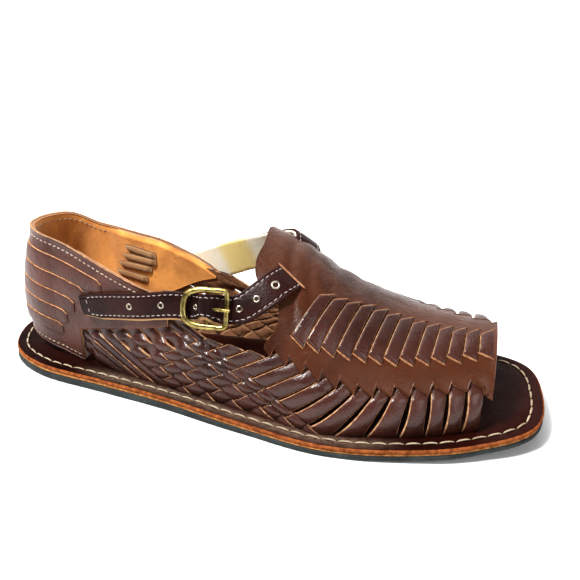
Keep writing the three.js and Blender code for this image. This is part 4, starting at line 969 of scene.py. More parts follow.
# Lower and upper end of rung k: x of both, then the height of both.
def rungEnds(k):
    return (ladder["front"] - ladder["lowPitch"] * k, ladder["front"] - ladder["highPitch"] * k,
            ladder["low"] + ladder["lowClimb"] * max(0, k - ladder["lowFrom"]),
            ladder["high"] + ladder["highClimb"] * min(k, ladder["highTo"]))


# Rung of the ladder: it stands up over the vamp and dives into it at both slanting ends.
def rungRings(k, steps=40):
    corners = bandLoop(9)
    w = corners[:, 0][None, :]
    lowX, highX, low, high = rungEnds(k)
    t = np.linspace(0, 1, steps)[:, None]
    slant = ladder["tooth"] * (1 - w) / 2
    v = lerp(low + slant, high - slant * ladder["highTooth"], t)
    x = lerp(lowX + w * ladder["lowHalf"], highX + w * ladder["highHalf"], t)
    fromEnd = np.minimum(v - low - slant, high - slant * ladder["highTooth"] - v)
    up = ease(fromEnd / ladder["dive"] + 0.1)
    lift = weave["panelLift"] + lerp(-1.4, 1.55, up) - 0.4 * w
    lift = lift + corners[:, 1][None, :] * weave["thickness"]
    lift = lift + 0.35 * (1 - w**2) * (corners[:, 1] > 0)[None, :] + 0.12 * ripple(x / 3, v / 3, 90 + k)
    return onSurface(sideways(-1, x), v, lift), corners


bandsPiece("ladder_rungs", [lambda k=k: rungRings(k) for k in range(ladder["count"])], leathers["strip"],
           "upper_leather")


# Thin raised lips of raw leather along the slanting slits at both ends of each rung.
def slitLips():
    pieces = []
    for k in range(ladder["count"]):
        lowX, highX, low, high = rungEnds(k)
        for endX, v, slope in ((lowX, low, 1), (highX, high, -ladder["highTooth"])):
            w = np.linspace(-1.05, 1.0, 16)
            x = endX + w * ladder["lipHalf"]
            at = v + slope * ladder["tooth"] * (1 - w) / 2 + 0.7 * slope
            turn = np.linspace(0, 2 * math.pi, 8, endpoint=False)
            thick = ladder["lipRadius"] * np.sqrt(np.clip(1 - np.abs(w)**6, 0.05, 1))
            vv = at[:, None] + np.cos(turn)[None, :] * thick[:, None]
            lift = weave["panelLift"] + 1.0 + np.sin(turn)[None, :] * thick[:, None] * 1.5 + 0.3
            pieces.append(onSurface(x[:, None] + 0 * vv, vv, lift))
    points, quads, tris, extra = loftMany(np.stack(pieces), dict(edge=np.ones(1), under=np.zeros(1)))
    addPiece(buildMesh("slit_lips", points, quads, tris, extra, leathers["vamp"]), "upper_leather")


slitLips()
print("stage: ladder", flush=True)

# Heel counter.

counter = dict(lift=0.9, outerSkin=1.1, innerSkin=0.1, lining=0.75, tip=0.395, step=0.205, bandRise=0.62,
               seamDrop=3.2, lowSeamRise=3.0, stitchPitch=2.9, bandThickness=1.1, liningDeepen=2.8,
               liningLower=4.5, liningTrim=0.5, pucker=0.5, flare=0.7)
# Upper edge: run as a share of the length, outer and inner height as shares of the heel height.
counterTopRows = np.array([
    (-0.02, 1.0, 1.0), (0.08, 0.99, 0.96), (0.14, 0.96, 0.88), (0.19, 0.92, 0.84), (0.235, 0.86, 0.8),
    (0.28, 0.8, 0.76), (0.33, 0.745, 0.68), (0.37, 0.71, 0.6), (0.395, 0.69, 0.53)])
# Lower edge behind its step: the same shares.
counterBottomRows = np.array([(-0.02, 0.11), (0.08, 0.105), (0.14, 0.07), (0.18, 0.035), (0.197, 0.02)])
# Bands: low and high edge as shares of the counter's wall, front end as a share of the sole's length.
counterBands = [(0.72, 0.86, 0.265), (0.57, 0.71, 0.225), (0.43, 0.56, 0.2), (0.29, 0.42, 0.18),
                (0.16, 0.28, 0.165)]
heelMiddle = (heelPivot + heelEnd) / 2


# Way from the heel on either side: s itself outside, mirrored inside.
def runOf(s):
    return np.where(s > heelMiddle, s, heelPivot + heelEnd - s)


# Upper edge: the outer and the inner table row, mixed round the heel.
def counterTop(s):
    run = runOf(s) / shoe["length"]
    outer = tableAt(counterTopRows[:, 0], counterTopRows[:, 1], run)
    inner = tableAt(counterTopRows[:, 0], counterTopRows[:, 2], run)
    return shoe["heel"] * lerp(inner, outer, ease((s - heelMiddle) / 30 + 0.5))


# Lower edge: ahead of its step it follows the tops of the diagonals, behind it the table.
def counterBottom(s):
    run = runOf(s)
    j = np.minimum((run - weave["diagonalStart"]) / diagonal["pitch"], diagonal["bend"])
    ahead = np.minimum(diagonal["rise"] + diagonal["climb"] * j, counterTop(s) - 1)
    behind = shoe["heel"] * tableAt(counterBottomRows[:, 0], counterBottomRows[:, 1], run / shoe["length"])
    return np.where(run > counter["step"] * shoe["length"], ahead, behind)


# Places round the heel from the outer tip to the inner tip, doubled where the lower edge steps.
def counterStops(count, end):
    far = end * shoe["length"]
    s = np.linspace(far, heelPivot + heelEnd - far, count)
    step = counter["step"] * shoe["length"]
    marks = [m for m in (step + 0.25, step - 0.25) if m < far]
    return np.sort(np.concatenate([s, marks, [heelPivot + heelEnd - m for m in marks]]))[::-1]


# Plate between two skins of the counter: it puckers where it is pulled forward and flares at its top.
# Lining only: deepen sinks its inside below that edge, lower draws it down on the inner side.
def counterPlate(inner, outer, columns=420, rows=64, trim=0.0, deepen=0.0, lower=0.0):
    s = counterStops(columns, counter["tip"] - trim / shoe["length"])[:, None]
    share = np.linspace(0, 1, rows)[None, :]
    run = runOf(s)
    drop = lower * ease((run - 60) / 4) * ease((108 - run) / 26) * (s < heelMiddle)
    v = lerp(counterBottom(s) + trim - drop, counterTop(s) - trim * 0.4, share)
    pucker = counter["pucker"] * ripple(s / 6, v / 5, 31) * ease((run - 52) / 14)
    pucker = pucker + 0.18 * ripple(s / 11, v / 9, 32)
    flare = counter["flare"] * np.exp(-((1 - share) / 0.03)**2) + 0 * s
    point, normal = surfaceFrame(s + 0 * share, v)
    bow = counter["lift"] + pucker + flare
    sink = deepen * ease((run - 48) / 14) * ease((counterTop(s) - v) / 2.2)
    top, low = (point + normal * lift[..., None] for lift in (bow + outer, bow + inner - sink))
    return plate(top, low)


points, quads, extra = counterPlate(-counter["innerSkin"], counter["outerSkin"])
addPiece(buildMesh("counter_wall", points, quads, [], extra, leathers["counter"]), "counter_leather",
         "heel_counter")
points, quads, extra = counterPlate(-counter["lining"] - 0.4, -counter["innerSkin"],
                                    trim=counter["liningTrim"], deepen=counter["liningDeepen"],
                                    lower=counter["liningLower"])
addPiece(buildMesh("counter_lining", points, quads, [], extra, tanSuede), "counter_leather")


# Raised band round the heel: its ends come down onto the wall and its corners are round.
def counterBand(low, high, end, steps=300):
    corners = bandLoop(11, 0.1)
    far = end * shoe["length"]
    s = np.linspace(far, heelPivot + heelEnd - far, steps)[:, None]
    share = lerp(low, high, (corners[:, 0][None, :] + 1) / 2)
    last = counter["step"] * shoe["length"] - 1
    base = counterBottom(np.where(runOf(s) > last, last, s))
    fromEnd = far - runOf(s)
    pull = 1 - 0.35 * np.exp(-(fromEnd / 1.6)**2)
    middleShare = (low + high) / 2
    v = lerp(base, counterTop(s), middleShare + (share - middleShare) * pull)
    lift = counter["lift"] + counter["outerSkin"] + counter["bandRise"] * ease(fromEnd / 2.0 + 0.35) - 0.55
    lift = lift + 0.22 * (1 - corners[:, 0]**2)[None, :] * (corners[:, 1] > 0)[None, :]
    lift = lift + corners[:, 1][None, :] * counter["bandThickness"]
    lift = lift + 0.18 * ripple(s / 11, v / 9, 32) + 0.1 * ripple(s / 4, v / 4, int(end * 1000))
    return onSurface(s + 0 * v, v, lift), corners


bandsPiece("counter_bands", [lambda band=band: counterBand(*band) for band in counterBands],
           leathers["counter"], "counter_leather")


# Row of stitches along a path on the surface, given by s, v and the height of the leather there.
def surfaceSeam(name, s, v, lift, pitch, length, radius, rise, material, slotName, inside=False):
    point, normal = surfaceFrame(s, v)
    path = point + normal * np.asarray(lift)[..., None]
    spots, along, at = evenly(path, pitch)
    up = unit(readAlong(at, runAlong(path), normal)) * (-1 if inside else 1)
    up = unit(up - along * np.sum(up * along, axis=1, keepdims=True))
    addPiece(stitchPieces(name, spots, along, up, length, radius, rise, material), slotName)


topRun = counterStops(300, counter["tip"] - 0.008)
topLift = counter["lift"] + counter["outerSkin"] + 0.1
surfaceSeam("counter_top_seam", topRun, counterTop(topRun) - counter["seamDrop"],
            topLift + 0 * topRun, counter["stitchPitch"], 2.0, 0.34, 0.2, paleThread, "counter_leather")
lowRun = np.linspace(0.2 * shoe["length"], heelPivot + heelEnd - 0.2 * shoe["length"], 260)
surfaceSeam("counter_low_seam", lowRun, counterBottom(lowRun) + counter["lowSeamRise"],
            topLift + 0 * lowRun, counter["stitchPitch"], 2.0, 0.3, 0.15, paleThread, "counter_leather")
surfaceSeam("counter_inner_seam", topRun, counterTop(topRun) - counter["seamDrop"],
            -0.4 + 0 * topRun, counter["stitchPitch"], 1.6, 0.3, 0.15, paleThread, "counter_leather",
            inside=True)


# Start and end of each tongue as run from the heel and height up the wall.
tongueEnds = [((61, 50), (79, 45)), ((59, 44.5), (79, 41)), ((56, 39.5), (76, 36.5)), ((54, 34.5), (73, 30))]
tongue = dict(half=2.05, place=-3.1, rise=1.0, thickness=1.2, crown=0.4)


# Tongue ends of the bands that come through the inner wall: flat round-ended loops of lighter suede.
def bandTongues():
    pieces = []
    corners = bandLoop(9, 0.25)
    for side in (-1, 1):
        for (startX, startV), (endX, endV) in tongueEnds:
            t = np.linspace(0, 1, 26)[:, None]
            x = lerp(startX, endX, t) + 0 * corners[:, 0][None, :]
            half = tongue["half"] * np.sqrt(np.clip(1 - (1 - np.minimum(t / 0.3, 1))**2.2, 0.02, 1))
            up = lerp(startV, endV, t) + half * corners[:, 0][None, :]
            out = ease(t / 0.12 + 0.1) * ease((1 - t) / 0.15 + 0.1)
            crown = tongue["crown"] * (1 - corners[:, 0]**2)[None, :] * (corners[:, 1] > 0) * out
            lift = tongue["place"] - tongue["rise"] * out - crown
            lift = lift - corners[:, 1][None, :] * tongue["thickness"]
            pieces.append(onSurface(sideways(side, x), up, lift))
    points, quads, tris, extra = loftMany(np.stack(pieces), dict(edge=corners[:, 2], under=corners[:, 3]))
    addPiece(buildMesh("band_tongues", points, quads, tris, extra, tongueSuede), "counter_leather")


tongueSuede = suedeMaterial("suede_tongue", (0.46, 0.27, 0.13), (0.3, 0.15, 0.06), (0.55, 0.36, 0.2))
bandTongues()
print("stage: counter", flush=True)

# Straps.

strap = dict(width=15.0, narrow=12.8, thickness=2.4, edgeInset=1.9, stitchPitch=2.9, stitchLength=1.95,
             stitchRadius=0.24, plyThickness=1.1, patchAt=126.0, outerSteps=160, innerSteps=90,
             outerShare=2 / 3, widensAt=0.38, widensOver=0.18, topThickness=0.62, rise=0.45, crown=0.28,
             seamDip=0.25, archDepth=0.4, archHalf=4.6, slantRun=11.0, tipShare=0.6, seamStart=5.0)
buckle = dict(wire=1.3, length=23.2, room=6.2, along=0.466, drop=3.5, prong=0.9, holderWidth=10.6,
              holderThickness=1.6)
# Way of the strap: share of the sole's length, share of the instep height, lift in strap thicknesses.
strapOuter = np.array([
    (0.226, 0.42, 1.45), (0.27, 0.46, 1.45), (0.34, 0.51, 1.45), (0.4, 0.555, 1.45), (0.4295, 0.565, 1.5),
    (0.446, 0.568, 1.65), (0.4655, 0.57, 3.62), (0.485, 0.57, 1.65), (0.502, 0.57, 1.5), (0.525, 0.595, 1.4),
    (0.55, 0.67, 1.6), (0.573, 0.77, 1.3), (0.592, 0.89, -0.9), (0.605, 1.01, -1.2)])
strapInner = np.array([
    (0.605, 1.01, -1.2), (0.592, 0.93, -0.9), (0.573, 0.85, 1.3), (0.54, 0.765, 1.5), (0.48, 0.66, 1.4),
    (0.42, 0.575, 1.4), (0.37, 0.5, 1.45), (0.335, 0.46, 1.45)])


# Spline through table rows: the rows are evenly spaced in the parameter.
def rowSpline(rows, at):
    i = np.clip(np.floor(at).astype(int), 0, len(rows) - 2)
    t = (at - i)[:, None]
    p, a, b, q = rows[np.maximum(i - 1, 0)], rows[i], rows[i + 1], rows[np.minimum(i + 2, len(rows) - 1)]
    return 0.5 * (2 * a + (b - p) * t + (2 * p - 5 * a + 4 * b - q) * t**2 + (3 * a - p - 3 * b + q) * t**3)


# Path of the strap on one side, and the surface normal beneath it.
def strapPath(side, rows, count):
    value = rowSpline(rows, np.linspace(0, len(rows) - 1, count + 1))
    point, normal = surfaceFrame(sideways(side, value[:, 0] * shoe["length"]), value[:, 1] * shoe["instep"])
    return point + normal * (value[:, 2] * strap["thickness"])[:, None], normal


# Frames along a path: direction, width direction and outward direction.
def pathFrames(path, normal=None, across=None):
    along = unit(np.concatenate([path[1:2] - path[:1], path[2:] - path[:-2], path[-1:] - path[-2:-1]]))
    wide = unit(np.cross(along, normal)) if across is None else np.broadcast_to(across, path.shape)
    return along, wide, unit(np.cross(wide, along))


outerPath, outerNormal = strapPath(-1, strapOuter, strap["outerSteps"])
innerPath, innerNormal = strapPath(1, strapInner, strap["innerSteps"])
strapLine = np.concatenate([outerPath, innerPath[1:]])
strapNormal = np.concatenate([outerNormal, innerNormal[1:]])
strapAlong, strapWide, strapOut = pathFrames(strapLine, strapNormal)
strapRun = runAlong(strapLine)
# Share of the strap's run by its table rows: two thirds outside, one third inside. It widens past the buckle.
strapPlace = np.concatenate([np.linspace(0, strap["outerShare"], strap["outerSteps"] + 1),
                             np.linspace(strap["outerShare"], 1, strap["innerSteps"] + 1)[1:]])
widening = ease((strapPlace - strap["widensAt"]) / strap["widensOver"])
strapShare = lerp(strap["narrow"] / strap["width"], 1.0, widening)
barRun = np.interp(buckle["along"] * shoe["length"], outerPath[:, 0], strapRun[:len(outerPath)])


# Half width toward the sole and toward the top at a length from the buckled tip, which is cut at a slant.
def strapHalf(run, sign):
    lower = lerp(strap["tipShare"], 1.0, np.clip(run / strap["slantRun"], 0, 1))
    lower = lower - strap["archDepth"] * np.exp(-((run - barRun) / strap["archHalf"])**2)
    upper = np.clip(0.94 + run / 4, 0, 1)
    return strap["width"] / 2 * np.interp(run, strapRun, strapShare) * np.where(sign > 0, lower, upper)


# Rings of a band along a line: across by its half widths, out by its thickness and lift.
def bandAlong(line, wide, out, corners, half, thickness, lift):
    w = corners[:, 0][None, :]
    width = np.where(w > 0, half[0][:, None], half[1][:, None])
    return (line[:, None] + wide[:, None] * (w * width)[..., None]
            + out[:, None] * (corners[:, 1][None, :] * thickness + lift)[..., None])


# Rounded top of the strap with a dip under each row of stitches.
def strapTopLift(w):
    return strap["crown"] * (1 - w**2) - strap["seamDip"] * np.exp(-((np.abs(w) - 0.77) / 0.06)**2)


corners = bandLoop(31, 0.06)
waviness = 0.12 * ripple(strapRun[:, None] / 5, corners[:, 0][None, :] * 1.5, 77)
topShape = strapTopLift(corners[:, 0])[None, :] * (corners[:, 1] > 0)[None, :]
halves = (strapHalf(strapRun, 1), strapHalf(strapRun, -1))
ring = bandAlong(strapLine, strapWide, strapOut, corners, halves, strap["thickness"] * strap["topThickness"],
                 strap["rise"] + topShape + waviness)
points, quads, tris, extra = loftMany(ring[None], dict(edge=corners[:, 2], under=corners[:, 3]))
addPiece(buildMesh("ankle_strap_top", points, quads, tris, extra, leathers["strap"]), "strap_leather",
         "ankle_strap")

# Lining ply under the strap: it stands out a little below the lower edge on the outer side.
wander = 0.35 * ripple(strapRun / 4, 0 * strapRun, 78)
corners = bandLoop(15, 0.06)
innerRun = ease((strapRun - strapRun[strap["outerSteps"]]) / 12 + 0.5)
pastBuckle = ease((strapRun - barRun - 8) / 10)
plyHalves = (halves[0] + lerp(lerp(1.15, -0.4, pastBuckle), 4.0, innerRun) + wander,
             halves[1] + lerp(-0.5, 0.3, innerRun) + 0.3 * wander)
ring = bandAlong(strapLine, strapWide, strapOut, corners, plyHalves, strap["plyThickness"],
                 -0.72 + 0 * topShape[:, :1])
patch = np.exp(-((strapLine[:, 0] - strap["patchAt"]) / 9.0)**6) * innerRun
points, quads, tris, extra = loftMany(ring[None], dict(cream=innerRun[:, None], patch=patch[:, None]))
addPiece(buildMesh("ankle_strap_ply", points, quads, tris, extra, strapLining), "strap_leather")


# Place on the strap at a run from the tip, w of the way across, and the outward direction there.
def strapPoint(run, w, lift):
    line = readAlong(run, strapRun, strapLine)
    wide, out = (unit(readAlong(run, strapRun, field)) for field in (strapWide, strapOut))
    half = np.where(w > 0, strapHalf(run, 1), strapHalf(run, -1))
    return line + wide * (w * half)[:, None] + out * np.asarray(lift)[..., None], out


# Row of stitches on the strap, on top of its rounded face.
def strapSeam(name, run, w):
    path, up = strapPoint(run, w, strapSkin + strapTopLift(w) + 0.18)
    spots, along, at = evenly(path, strap["stitchPitch"])
    up = unit(readAlong(at, runAlong(path), up))
    addPiece(stitchPieces(name, spots, along, up, strap["stitchLength"], strap["stitchRadius"], 0.1,
                          strapThread), "strap_leather")


strapSkin = strap["rise"] + strap["thickness"] * strap["topThickness"] / 2
seamShare = 1 - strap["edgeInset"] / (strap["width"] / 2)
seamRun = np.linspace(strap["seamStart"], strapRun[-1] - 3, 400)
strapSeam("strap_seam_low", seamRun, seamShare + 0 * seamRun)
strapSeam("strap_seam_top", seamRun, -seamShare + 0 * seamRun)
strapSeam("strap_seam_tip", np.full(60, strap["seamStart"]), np.linspace(-seamShare, seamShare, 60))
print("stage: strap", flush=True)

# Buckle and eyelets.

# Frame of the strap where its outer run passes x.
def strapFrameAt(x):
    run = np.interp(x, outerPath[:, 0], strapRun[:len(outerPath)])
    fields = (readAlong(run, strapRun, field) for field in (strapAlong, strapWide, strapOut))
    return readAlong(run, strapRun, strapLine), *(unit(field) for field in fields)


clear = strap["thickness"] / 2 + 3 * shoe["clearance"] + buckle["wire"]
ends = []
for sign in (-0.5, 0.5):
    spot, _, _, out = strapFrameAt(buckle["along"] * shoe["length"]
                                   + sign * (buckle["length"] - 2 * buckle["wire"]))
    ends.append(spot + out * clear)
buckleAlong = unit(ends[1] - ends[0])
_, buckleNormal = surfaceFrame(np.array([buckle["along"] * shoe["length"]]),
                               np.array([strapOuter[5, 1] * shoe["instep"]]))
buckleUp = unit(np.cross(buckleNormal[0], buckleAlong))
buckleOut = unit(np.cross(buckleAlong, buckleUp))
buckleMiddle = (ends[0] + ends[1]) / 2


# Place on the buckle: a along the strap, b across it, c out from the frame's plane.
def buckleSpot(a, b, c):
    a, b, c = np.broadcast_arrays(a, b, c)
    return buckleMiddle + a[..., None] * buckleAlong + b[..., None] * buckleUp + c[..., None] * buckleOut


# Centripetal spline through points, open or closed, sampled finely and spaced evenly by length.
def smoothPath(points, count, closed=False):
    if closed:
        dense = closedSpline3(points, 60 * len(points))
        dense = np.concatenate([dense, dense[:1]])
    else:
        ghost = np.concatenate([2 * points[:1] - points[1:2], points, 2 * points[-1:] - points[-2:-1]])
        dense = openSpline3(ghost, 60)
    run = runAlong(dense)
    at = np.linspace(0, run[-1], count + 1)
    return readAlong(at[:-1] if closed else at, run, dense)


# One span of a centripetal spline from p1 to p2: a cubic with slopes from the root of each gap.
def splineSpan(p0, p1, p2, p3, t):
    gap = lambda a, b: max(np.linalg.norm(b - a), 1e-6)**0.5
    d0, d1, d2 = gap(p0, p1), gap(p1, p2), gap(p2, p3)
    t1 = ((p1 - p0) / d0 - (p2 - p0) / (d0 + d1) + (p2 - p1) / d1) * d1
    t2 = ((p2 - p1) / d1 - (p3 - p1) / (d1 + d2) + (p3 - p2) / d2) * d1
    return p1 + t1 * t + (-3 * p1 + 3 * p2 - 2 * t1 - t2) * t**2 + (2 * p1 - 2 * p2 + t1 + t2) * t**3


# All spans of a closed and of an open spline, one after another.
def closedSpline3(points, samples):
    n = len(points)
    t = np.linspace(0, 1, samples // n, endpoint=False)[:, None]
    return np.concatenate([splineSpan(points[k - 1], points[k], points[(k + 1) % n], points[(k + 2) % n], t)
                           for k in range(n)])


def openSpline3(points, each):
    t = np.linspace(0, 1, each, endpoint=False)[:, None]
    spans = [splineSpan(points[k], points[k + 1], points[k + 2], points[k + 3], t)
             for k in range(len(points) - 3)]
    return np.concatenate(spans + [points[-2:-1]])


# Round wire along a path; flatten squeezes it toward the plane of the buckle.
def wireRings(path, radius, sides, closed=False, flatten=1.0):
    if closed:
        along = unit(np.roll(path, -1, axis=0) - np.roll(path, 1, axis=0))
    else:
        along = unit(np.concatenate([path[1:2] - path[:1], path[2:] - path[:-2], path[-1:] - path[-2:-1]]))
    reference = buckleUp if abs(np.mean(along @ buckleUp)) < 0.5 and not closed else buckleOut
    first = unit(reference - along * (along @ reference)[:, None])
    second = np.cross(along, first)
    turn = np.linspace(0, 2 * math.pi, sides, endpoint=False)
    radius = np.broadcast_to(radius, len(path))[:, None, None]
    return path[:, None] + radius * (np.cos(turn)[None, :, None] * first[:, None] * flatten
                                     + np.sin(turn)[None, :, None] * second[:, None])


# Shapes below are in halves of the frame: straight end ahead, rounded end toward the buckled tip.
halfLength = buckle["length"] / 2 - buckle["wire"]
halfHeight = (strap["narrow"] + buckle["room"]) / 2 - buckle["wire"]
barRadius = 0.8 * buckle["wire"]
ringShape = np.array([(1, 0), (1, 0.7), (0.93, 0.97), (0.3, 1.02), (-0.5, 0.95), (-0.9, 0.65), (-1, 0),
                      (-0.9, -0.65), (-0.5, -0.95), (0.3, -1.02), (0.93, -0.97), (1, -0.7)])
ringPath = smoothPath(buckleSpot(ringShape[:, 0] * halfLength, ringShape[:, 1] * halfHeight, 0.0), 160,
                      closed=True)
# The wire is thicker at the rounded end and along the sides than at the straight end.
reach = (ringPath - buckleMiddle) @ buckleAlong / halfLength
ringRadius = buckle["wire"] * (1.12 - 0.16 * ease((reach + 0.2) / 1.1))
ringMesh = loftMany(wireRings(ringPath, ringRadius, 16, closed=True, flatten=0.8)[None], {}, closed=True)
barShape = np.array([(1, 0), (1, -0.5), (0.95, -0.9), (0.8, -1), (0, -1), (-0.8, -1), (-0.95, -0.9),
                     (-1, -0.5), (-1, 0)])
barPath = smoothPath(buckleSpot(0.0, barShape[:, 0] * halfHeight, barShape[:, 1] * buckle["drop"]), 60)
barMesh = loftMany(wireRings(barPath, barRadius, 14)[None], {})


# Two meshes as one: the second's face numbers move past the first's points.
def mergedMesh(first, second):
    shift = len(first[0])
    return (np.concatenate([first[0], second[0]]), np.concatenate([first[1], second[1] + shift]),
            np.concatenate([first[2].reshape(-1, 3), second[2].reshape(-1, 3) + shift]))


points, quads, tris = mergedMesh(ringMesh, barMesh)
addPiece(buildMesh("buckle_ring", points, quads, tris, {}, brass), "buckle_brass", "buckle_frame")

curlTurn = np.array([5.4, 4.6, 3.8, 3, 2.2, 1.5])
curlRadius = barRadius + buckle["prong"] + shoe["clearance"]
curl = buckleSpot(curlRadius * np.cos(curlTurn), 0.0, curlRadius * np.sin(curlTurn) - buckle["drop"])
prongShape = np.array([(0.45, 0.1), (0.75, 0.7), (1, 1), (1.22, 0.95)])
over = buckle["wire"] + buckle["prong"] + shoe["clearance"]
prongReach = buckleSpot(prongShape[:, 0] * halfLength, 0.0, prongShape[:, 1] * over)
prongPath = smoothPath(np.concatenate([curl, prongReach]), 70)
taper = buckle["prong"] * (1.05 - 0.25 * ease((np.linspace(0, 1, 71) - 0.7) / 0.3))
points, quads, tris, _ = loftMany(wireRings(prongPath, taper, 14)[None], {})
addPiece(buildMesh("buckle_tongue", points, quads, tris, {}, brass), "buckle_brass", "buckle_prong")

# Short strap that holds the buckle: out of the counter, round the centre bar and back.
holderStart = np.array([(0.38, 0.55, -1.25), (0.402, 0.552, -1.2), (0.428, 0.555, -0.5)])
point, normal = surfaceFrame(holderStart[:, 0] * shoe["length"], holderStart[:, 1] * shoe["instep"])
foldLoop = barRadius + buckle["holderThickness"] / 2 + shoe["clearance"]
foldShape = np.array([(-3.2, -1.15), (-1.4, -1.02), (0, -1), (0.7, -0.7), (1, 0), (0.7, 0.7), (0, 1),
                      (-0.6, 0.9)])
fold = buckleSpot(foldShape[:, 0] * foldLoop, 0.0, foldShape[:, 1] * foldLoop - buckle["drop"])
start = point + normal * (holderStart[:, 2] * buckle["holderThickness"])[:, None]
holderPath = smoothPath(np.concatenate([start, fold]), 90)
_, wide, out = pathFrames(holderPath, across=buckleUp)
corners = bandLoop(13, 0.14)
half = np.full(len(holderPath), buckle["holderWidth"] / 2)
ring = bandAlong(holderPath, wide, out, corners, (half, half), buckle["holderThickness"],
                 0 * corners[:, 0][None, :])
points, quads, tris, extra = loftMany(ring[None], dict(edge=corners[:, 2], under=corners[:, 3]))
addPiece(buildMesh("buckle_holder", points, quads, tris, extra, tanSuede), "holder_leather", "buckle_strap")


# Raised raw lip of the slot in the vamp where the strap dives under: a flattened rod across the strap.
def slotLip(steps=40, sides=12):
    share = np.linspace(-slot["reach"], slot["reach"], steps)
    centre, out = strapPoint(np.full(steps, slotRun), share, 0.0 * share)
    run = unit(np.gradient(centre, axis=0))
    forward = unit(np.cross(run, out))
    turn = np.linspace(0, 2 * math.pi, sides, endpoint=False)
    size = np.sqrt(np.clip(1 - np.abs(share / slot["reach"])**8, 0.03, 1))[:, None, None]
    up = slot["lift"] + slot["height"] * np.sin(turn)[None, :, None] * size
    rings = centre[:, None] + out[:, None] * up
    rings = rings + forward[:, None] * slot["width"] * np.cos(turn)[None, :, None] * size
    edge = 0.9 * (np.cos(turn) * slot["rawSide"] > 0.1)
    points, quads, tris, extra = loftMany(rings[None], dict(edge=edge, under=0 * edge))
    addPiece(buildMesh("slot_lip", points, quads, tris, extra, leathers["vamp"]), "upper_leather")


slot = dict(at=0.5835, lift=1.75, height=0.5, width=0.95, rawSide=1, reach=1.16)
slotRun = np.interp(slot["at"] * shoe["length"], outerPath[:, 0], strapRun[:len(outerPath)])
slotLip()

# Eyelets: places along the strap as shares of the length; the last one is larger.
eyelets = dict(spots=[0.3286, 0.3885, 0.4545, 0.5197, 0.545, 0.5686], radius=1.75, lastRadius=2.2, sides=28)


# Rolled ring set in the strap: a round profile turned about the strap's outward direction.
def eyelet(k, x):
    line, along, wide, out = strapFrameAt(x)
    skin = strapSkin + strap["crown"]
    profile = np.array([(1.0, -1.6), (1.0, -0.2), (1.03, 0.12), (1.25, 0.42), (1.55, 0.5), (1.8, 0.38),
                        (2.0, 0.1), (1.95, -0.15),
                        (1.6, -0.2), (1.45, -0.6), (1.4, -1.6)])
    radius = eyelets["lastRadius"] if k == len(eyelets["spots"]) - 1 else eyelets["radius"]
    profile = profile * (radius / 2.0, 0.8)
    turn = np.linspace(0, 2 * math.pi, eyelets["sides"], endpoint=False)
    spoke = np.cos(turn)[:, None] * along + np.sin(turn)[:, None] * wide
    points = line + spoke[:, None] * profile[None, :, :1] + out * (profile[:, 1] + skin)[None, :, None]
    n, m = points.shape[:2]
    return buildMesh("eyelet_ring_%d" % (k + 1), points.reshape(-1, 3), gridQuads(n, m, True, True), [], {},
                     dullBrass)


for k, spot in enumerate(eyelets["spots"]):
    addPiece(eyelet(k, spot * shoe["length"]), "eyelet_brass", "eyelet_%d" % (k + 1))
print("stage: buckle", flush=True)

# Camera, floor and lights.

view = dict(turn=18.16, tilt=26.75, distance=346.23, focal=649.96, centre=(145.0 - 2.7, 0.0, 20.0),
            frame=580, axis=(248.84, 340.14))
turn, tilt = math.radians(view["turn"]), math.radians(view["tilt"])
back = np.array([math.sin(turn) * math.cos(tilt), -math.cos(turn) * math.cos(tilt), math.sin(tilt)])
right = np.array([math.cos(turn), math.sin(turn), 0.0])
upAxis = np.cross(back, right)
place = (np.array(view["centre"]) - middle + back * view["distance"]) / 1000
cameraData = bpy.data.cameras.new("camera")
cameraData.sensor_width = 36.0
cameraData.lens = 36.0 * view["focal"] / view["frame"]
cameraData.shift_x = (view["frame"] / 2 - view["axis"][0]) / view["frame"]
cameraData.shift_y = (view["axis"][1] - view["frame"] / 2) / view["frame"]
cameraData.clip_start = 0.01
camera = bpy.data.objects.new("camera", cameraData)
camera.matrix_world = Matrix([(right[k], upAxis[k], back[k], place[k]) for k in range(3)] + [(0, 0, 0, 1)])
bpy.context.scene.collection.objects.link(camera)
bpy.context.scene.camera = camera

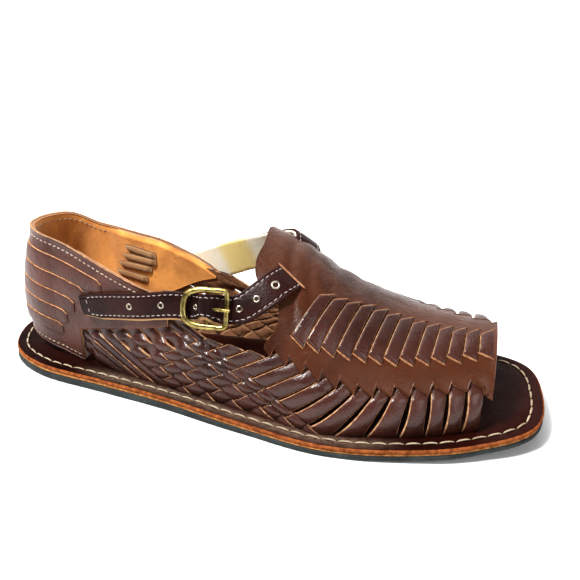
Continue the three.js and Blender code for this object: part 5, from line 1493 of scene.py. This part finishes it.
floorMesh = bpy.data.meshes.new("floor")
sweep = np.linspace(0, math.pi / 2, 25)
curve = [(1.5 + math.sin(a), 1.0 - math.cos(a)) for a in sweep]
profile = [(-3.0, 0.0)] + curve + [(2.5, 4.0)]
floorMesh.from_pydata([(x, y, z) for x in (-5.0, 5.0) for y, z in profile], [],
                      [(k, len(profile) + k, len(profile) + k + 1, k + 1) for k in range(len(profile) - 1)])
floorMesh.polygons.foreach_set("use_smooth", [True] * len(floorMesh.polygons))
floor = bpy.data.objects.new("floor", floorMesh)
bpy.context.scene.collection.objects.link(floor)
floorMaterial, tree, shader, coords = newMaterial("floor_paper")
tree.links.new(mixNode(tree, noiseNode(tree, coords, 3, 2), (0.86, 0.86, 0.86), (0.9, 0.9, 0.9)),
               shader.inputs["Base Color"])
shader.inputs["Roughness"].default_value = 0.9
floorMesh.materials.append(floorMaterial)

lights = dict(
    key=dict(place=(-0.4, -0.42, 0.95), aim=(0.0, 0.0, 0.02), size=0.22, power=17.0),
    fill=dict(place=(0.75, -0.55, 0.5), aim=(0.02, 0.0, 0.02), size=0.6, power=3.0),
    top=dict(place=(-0.3, 0.1, 1.1), aim=(0.0, 0.0, 0.02), size=0.5, power=2.5),
    backdrop=dict(place=(-0.6, 0.8, 1.9), aim=(-1.0, 2.5, 0.8), size=2.2, power=75.0))
for name, values in lights.items():
    data = bpy.data.lights.new(name, "AREA")
    data.shape = "SQUARE"
    data.size = values["size"]
    data.energy = values["power"]
    lamp = bpy.data.objects.new(name, data)
    lamp.location = values["place"]
    aim = Vector(values["aim"]) - Vector(values["place"])
    lamp.rotation_euler = aim.to_track_quat("-Z", "Y").to_euler()
    bpy.context.scene.collection.objects.link(lamp)
world = bpy.data.worlds.new("studio")
world.use_nodes = True
world.node_tree.nodes["Background"].inputs[0].default_value = (1.0, 1.0, 1.0, 1.0)
world.node_tree.nodes["Background"].inputs[1].default_value = 0.25
bpy.context.scene.world = world
bpy.context.scene.view_settings.view_transform = "Standard"
bpy.context.scene.view_settings.look = "Medium High Contrast"
print("stage: camera and light", flush=True)
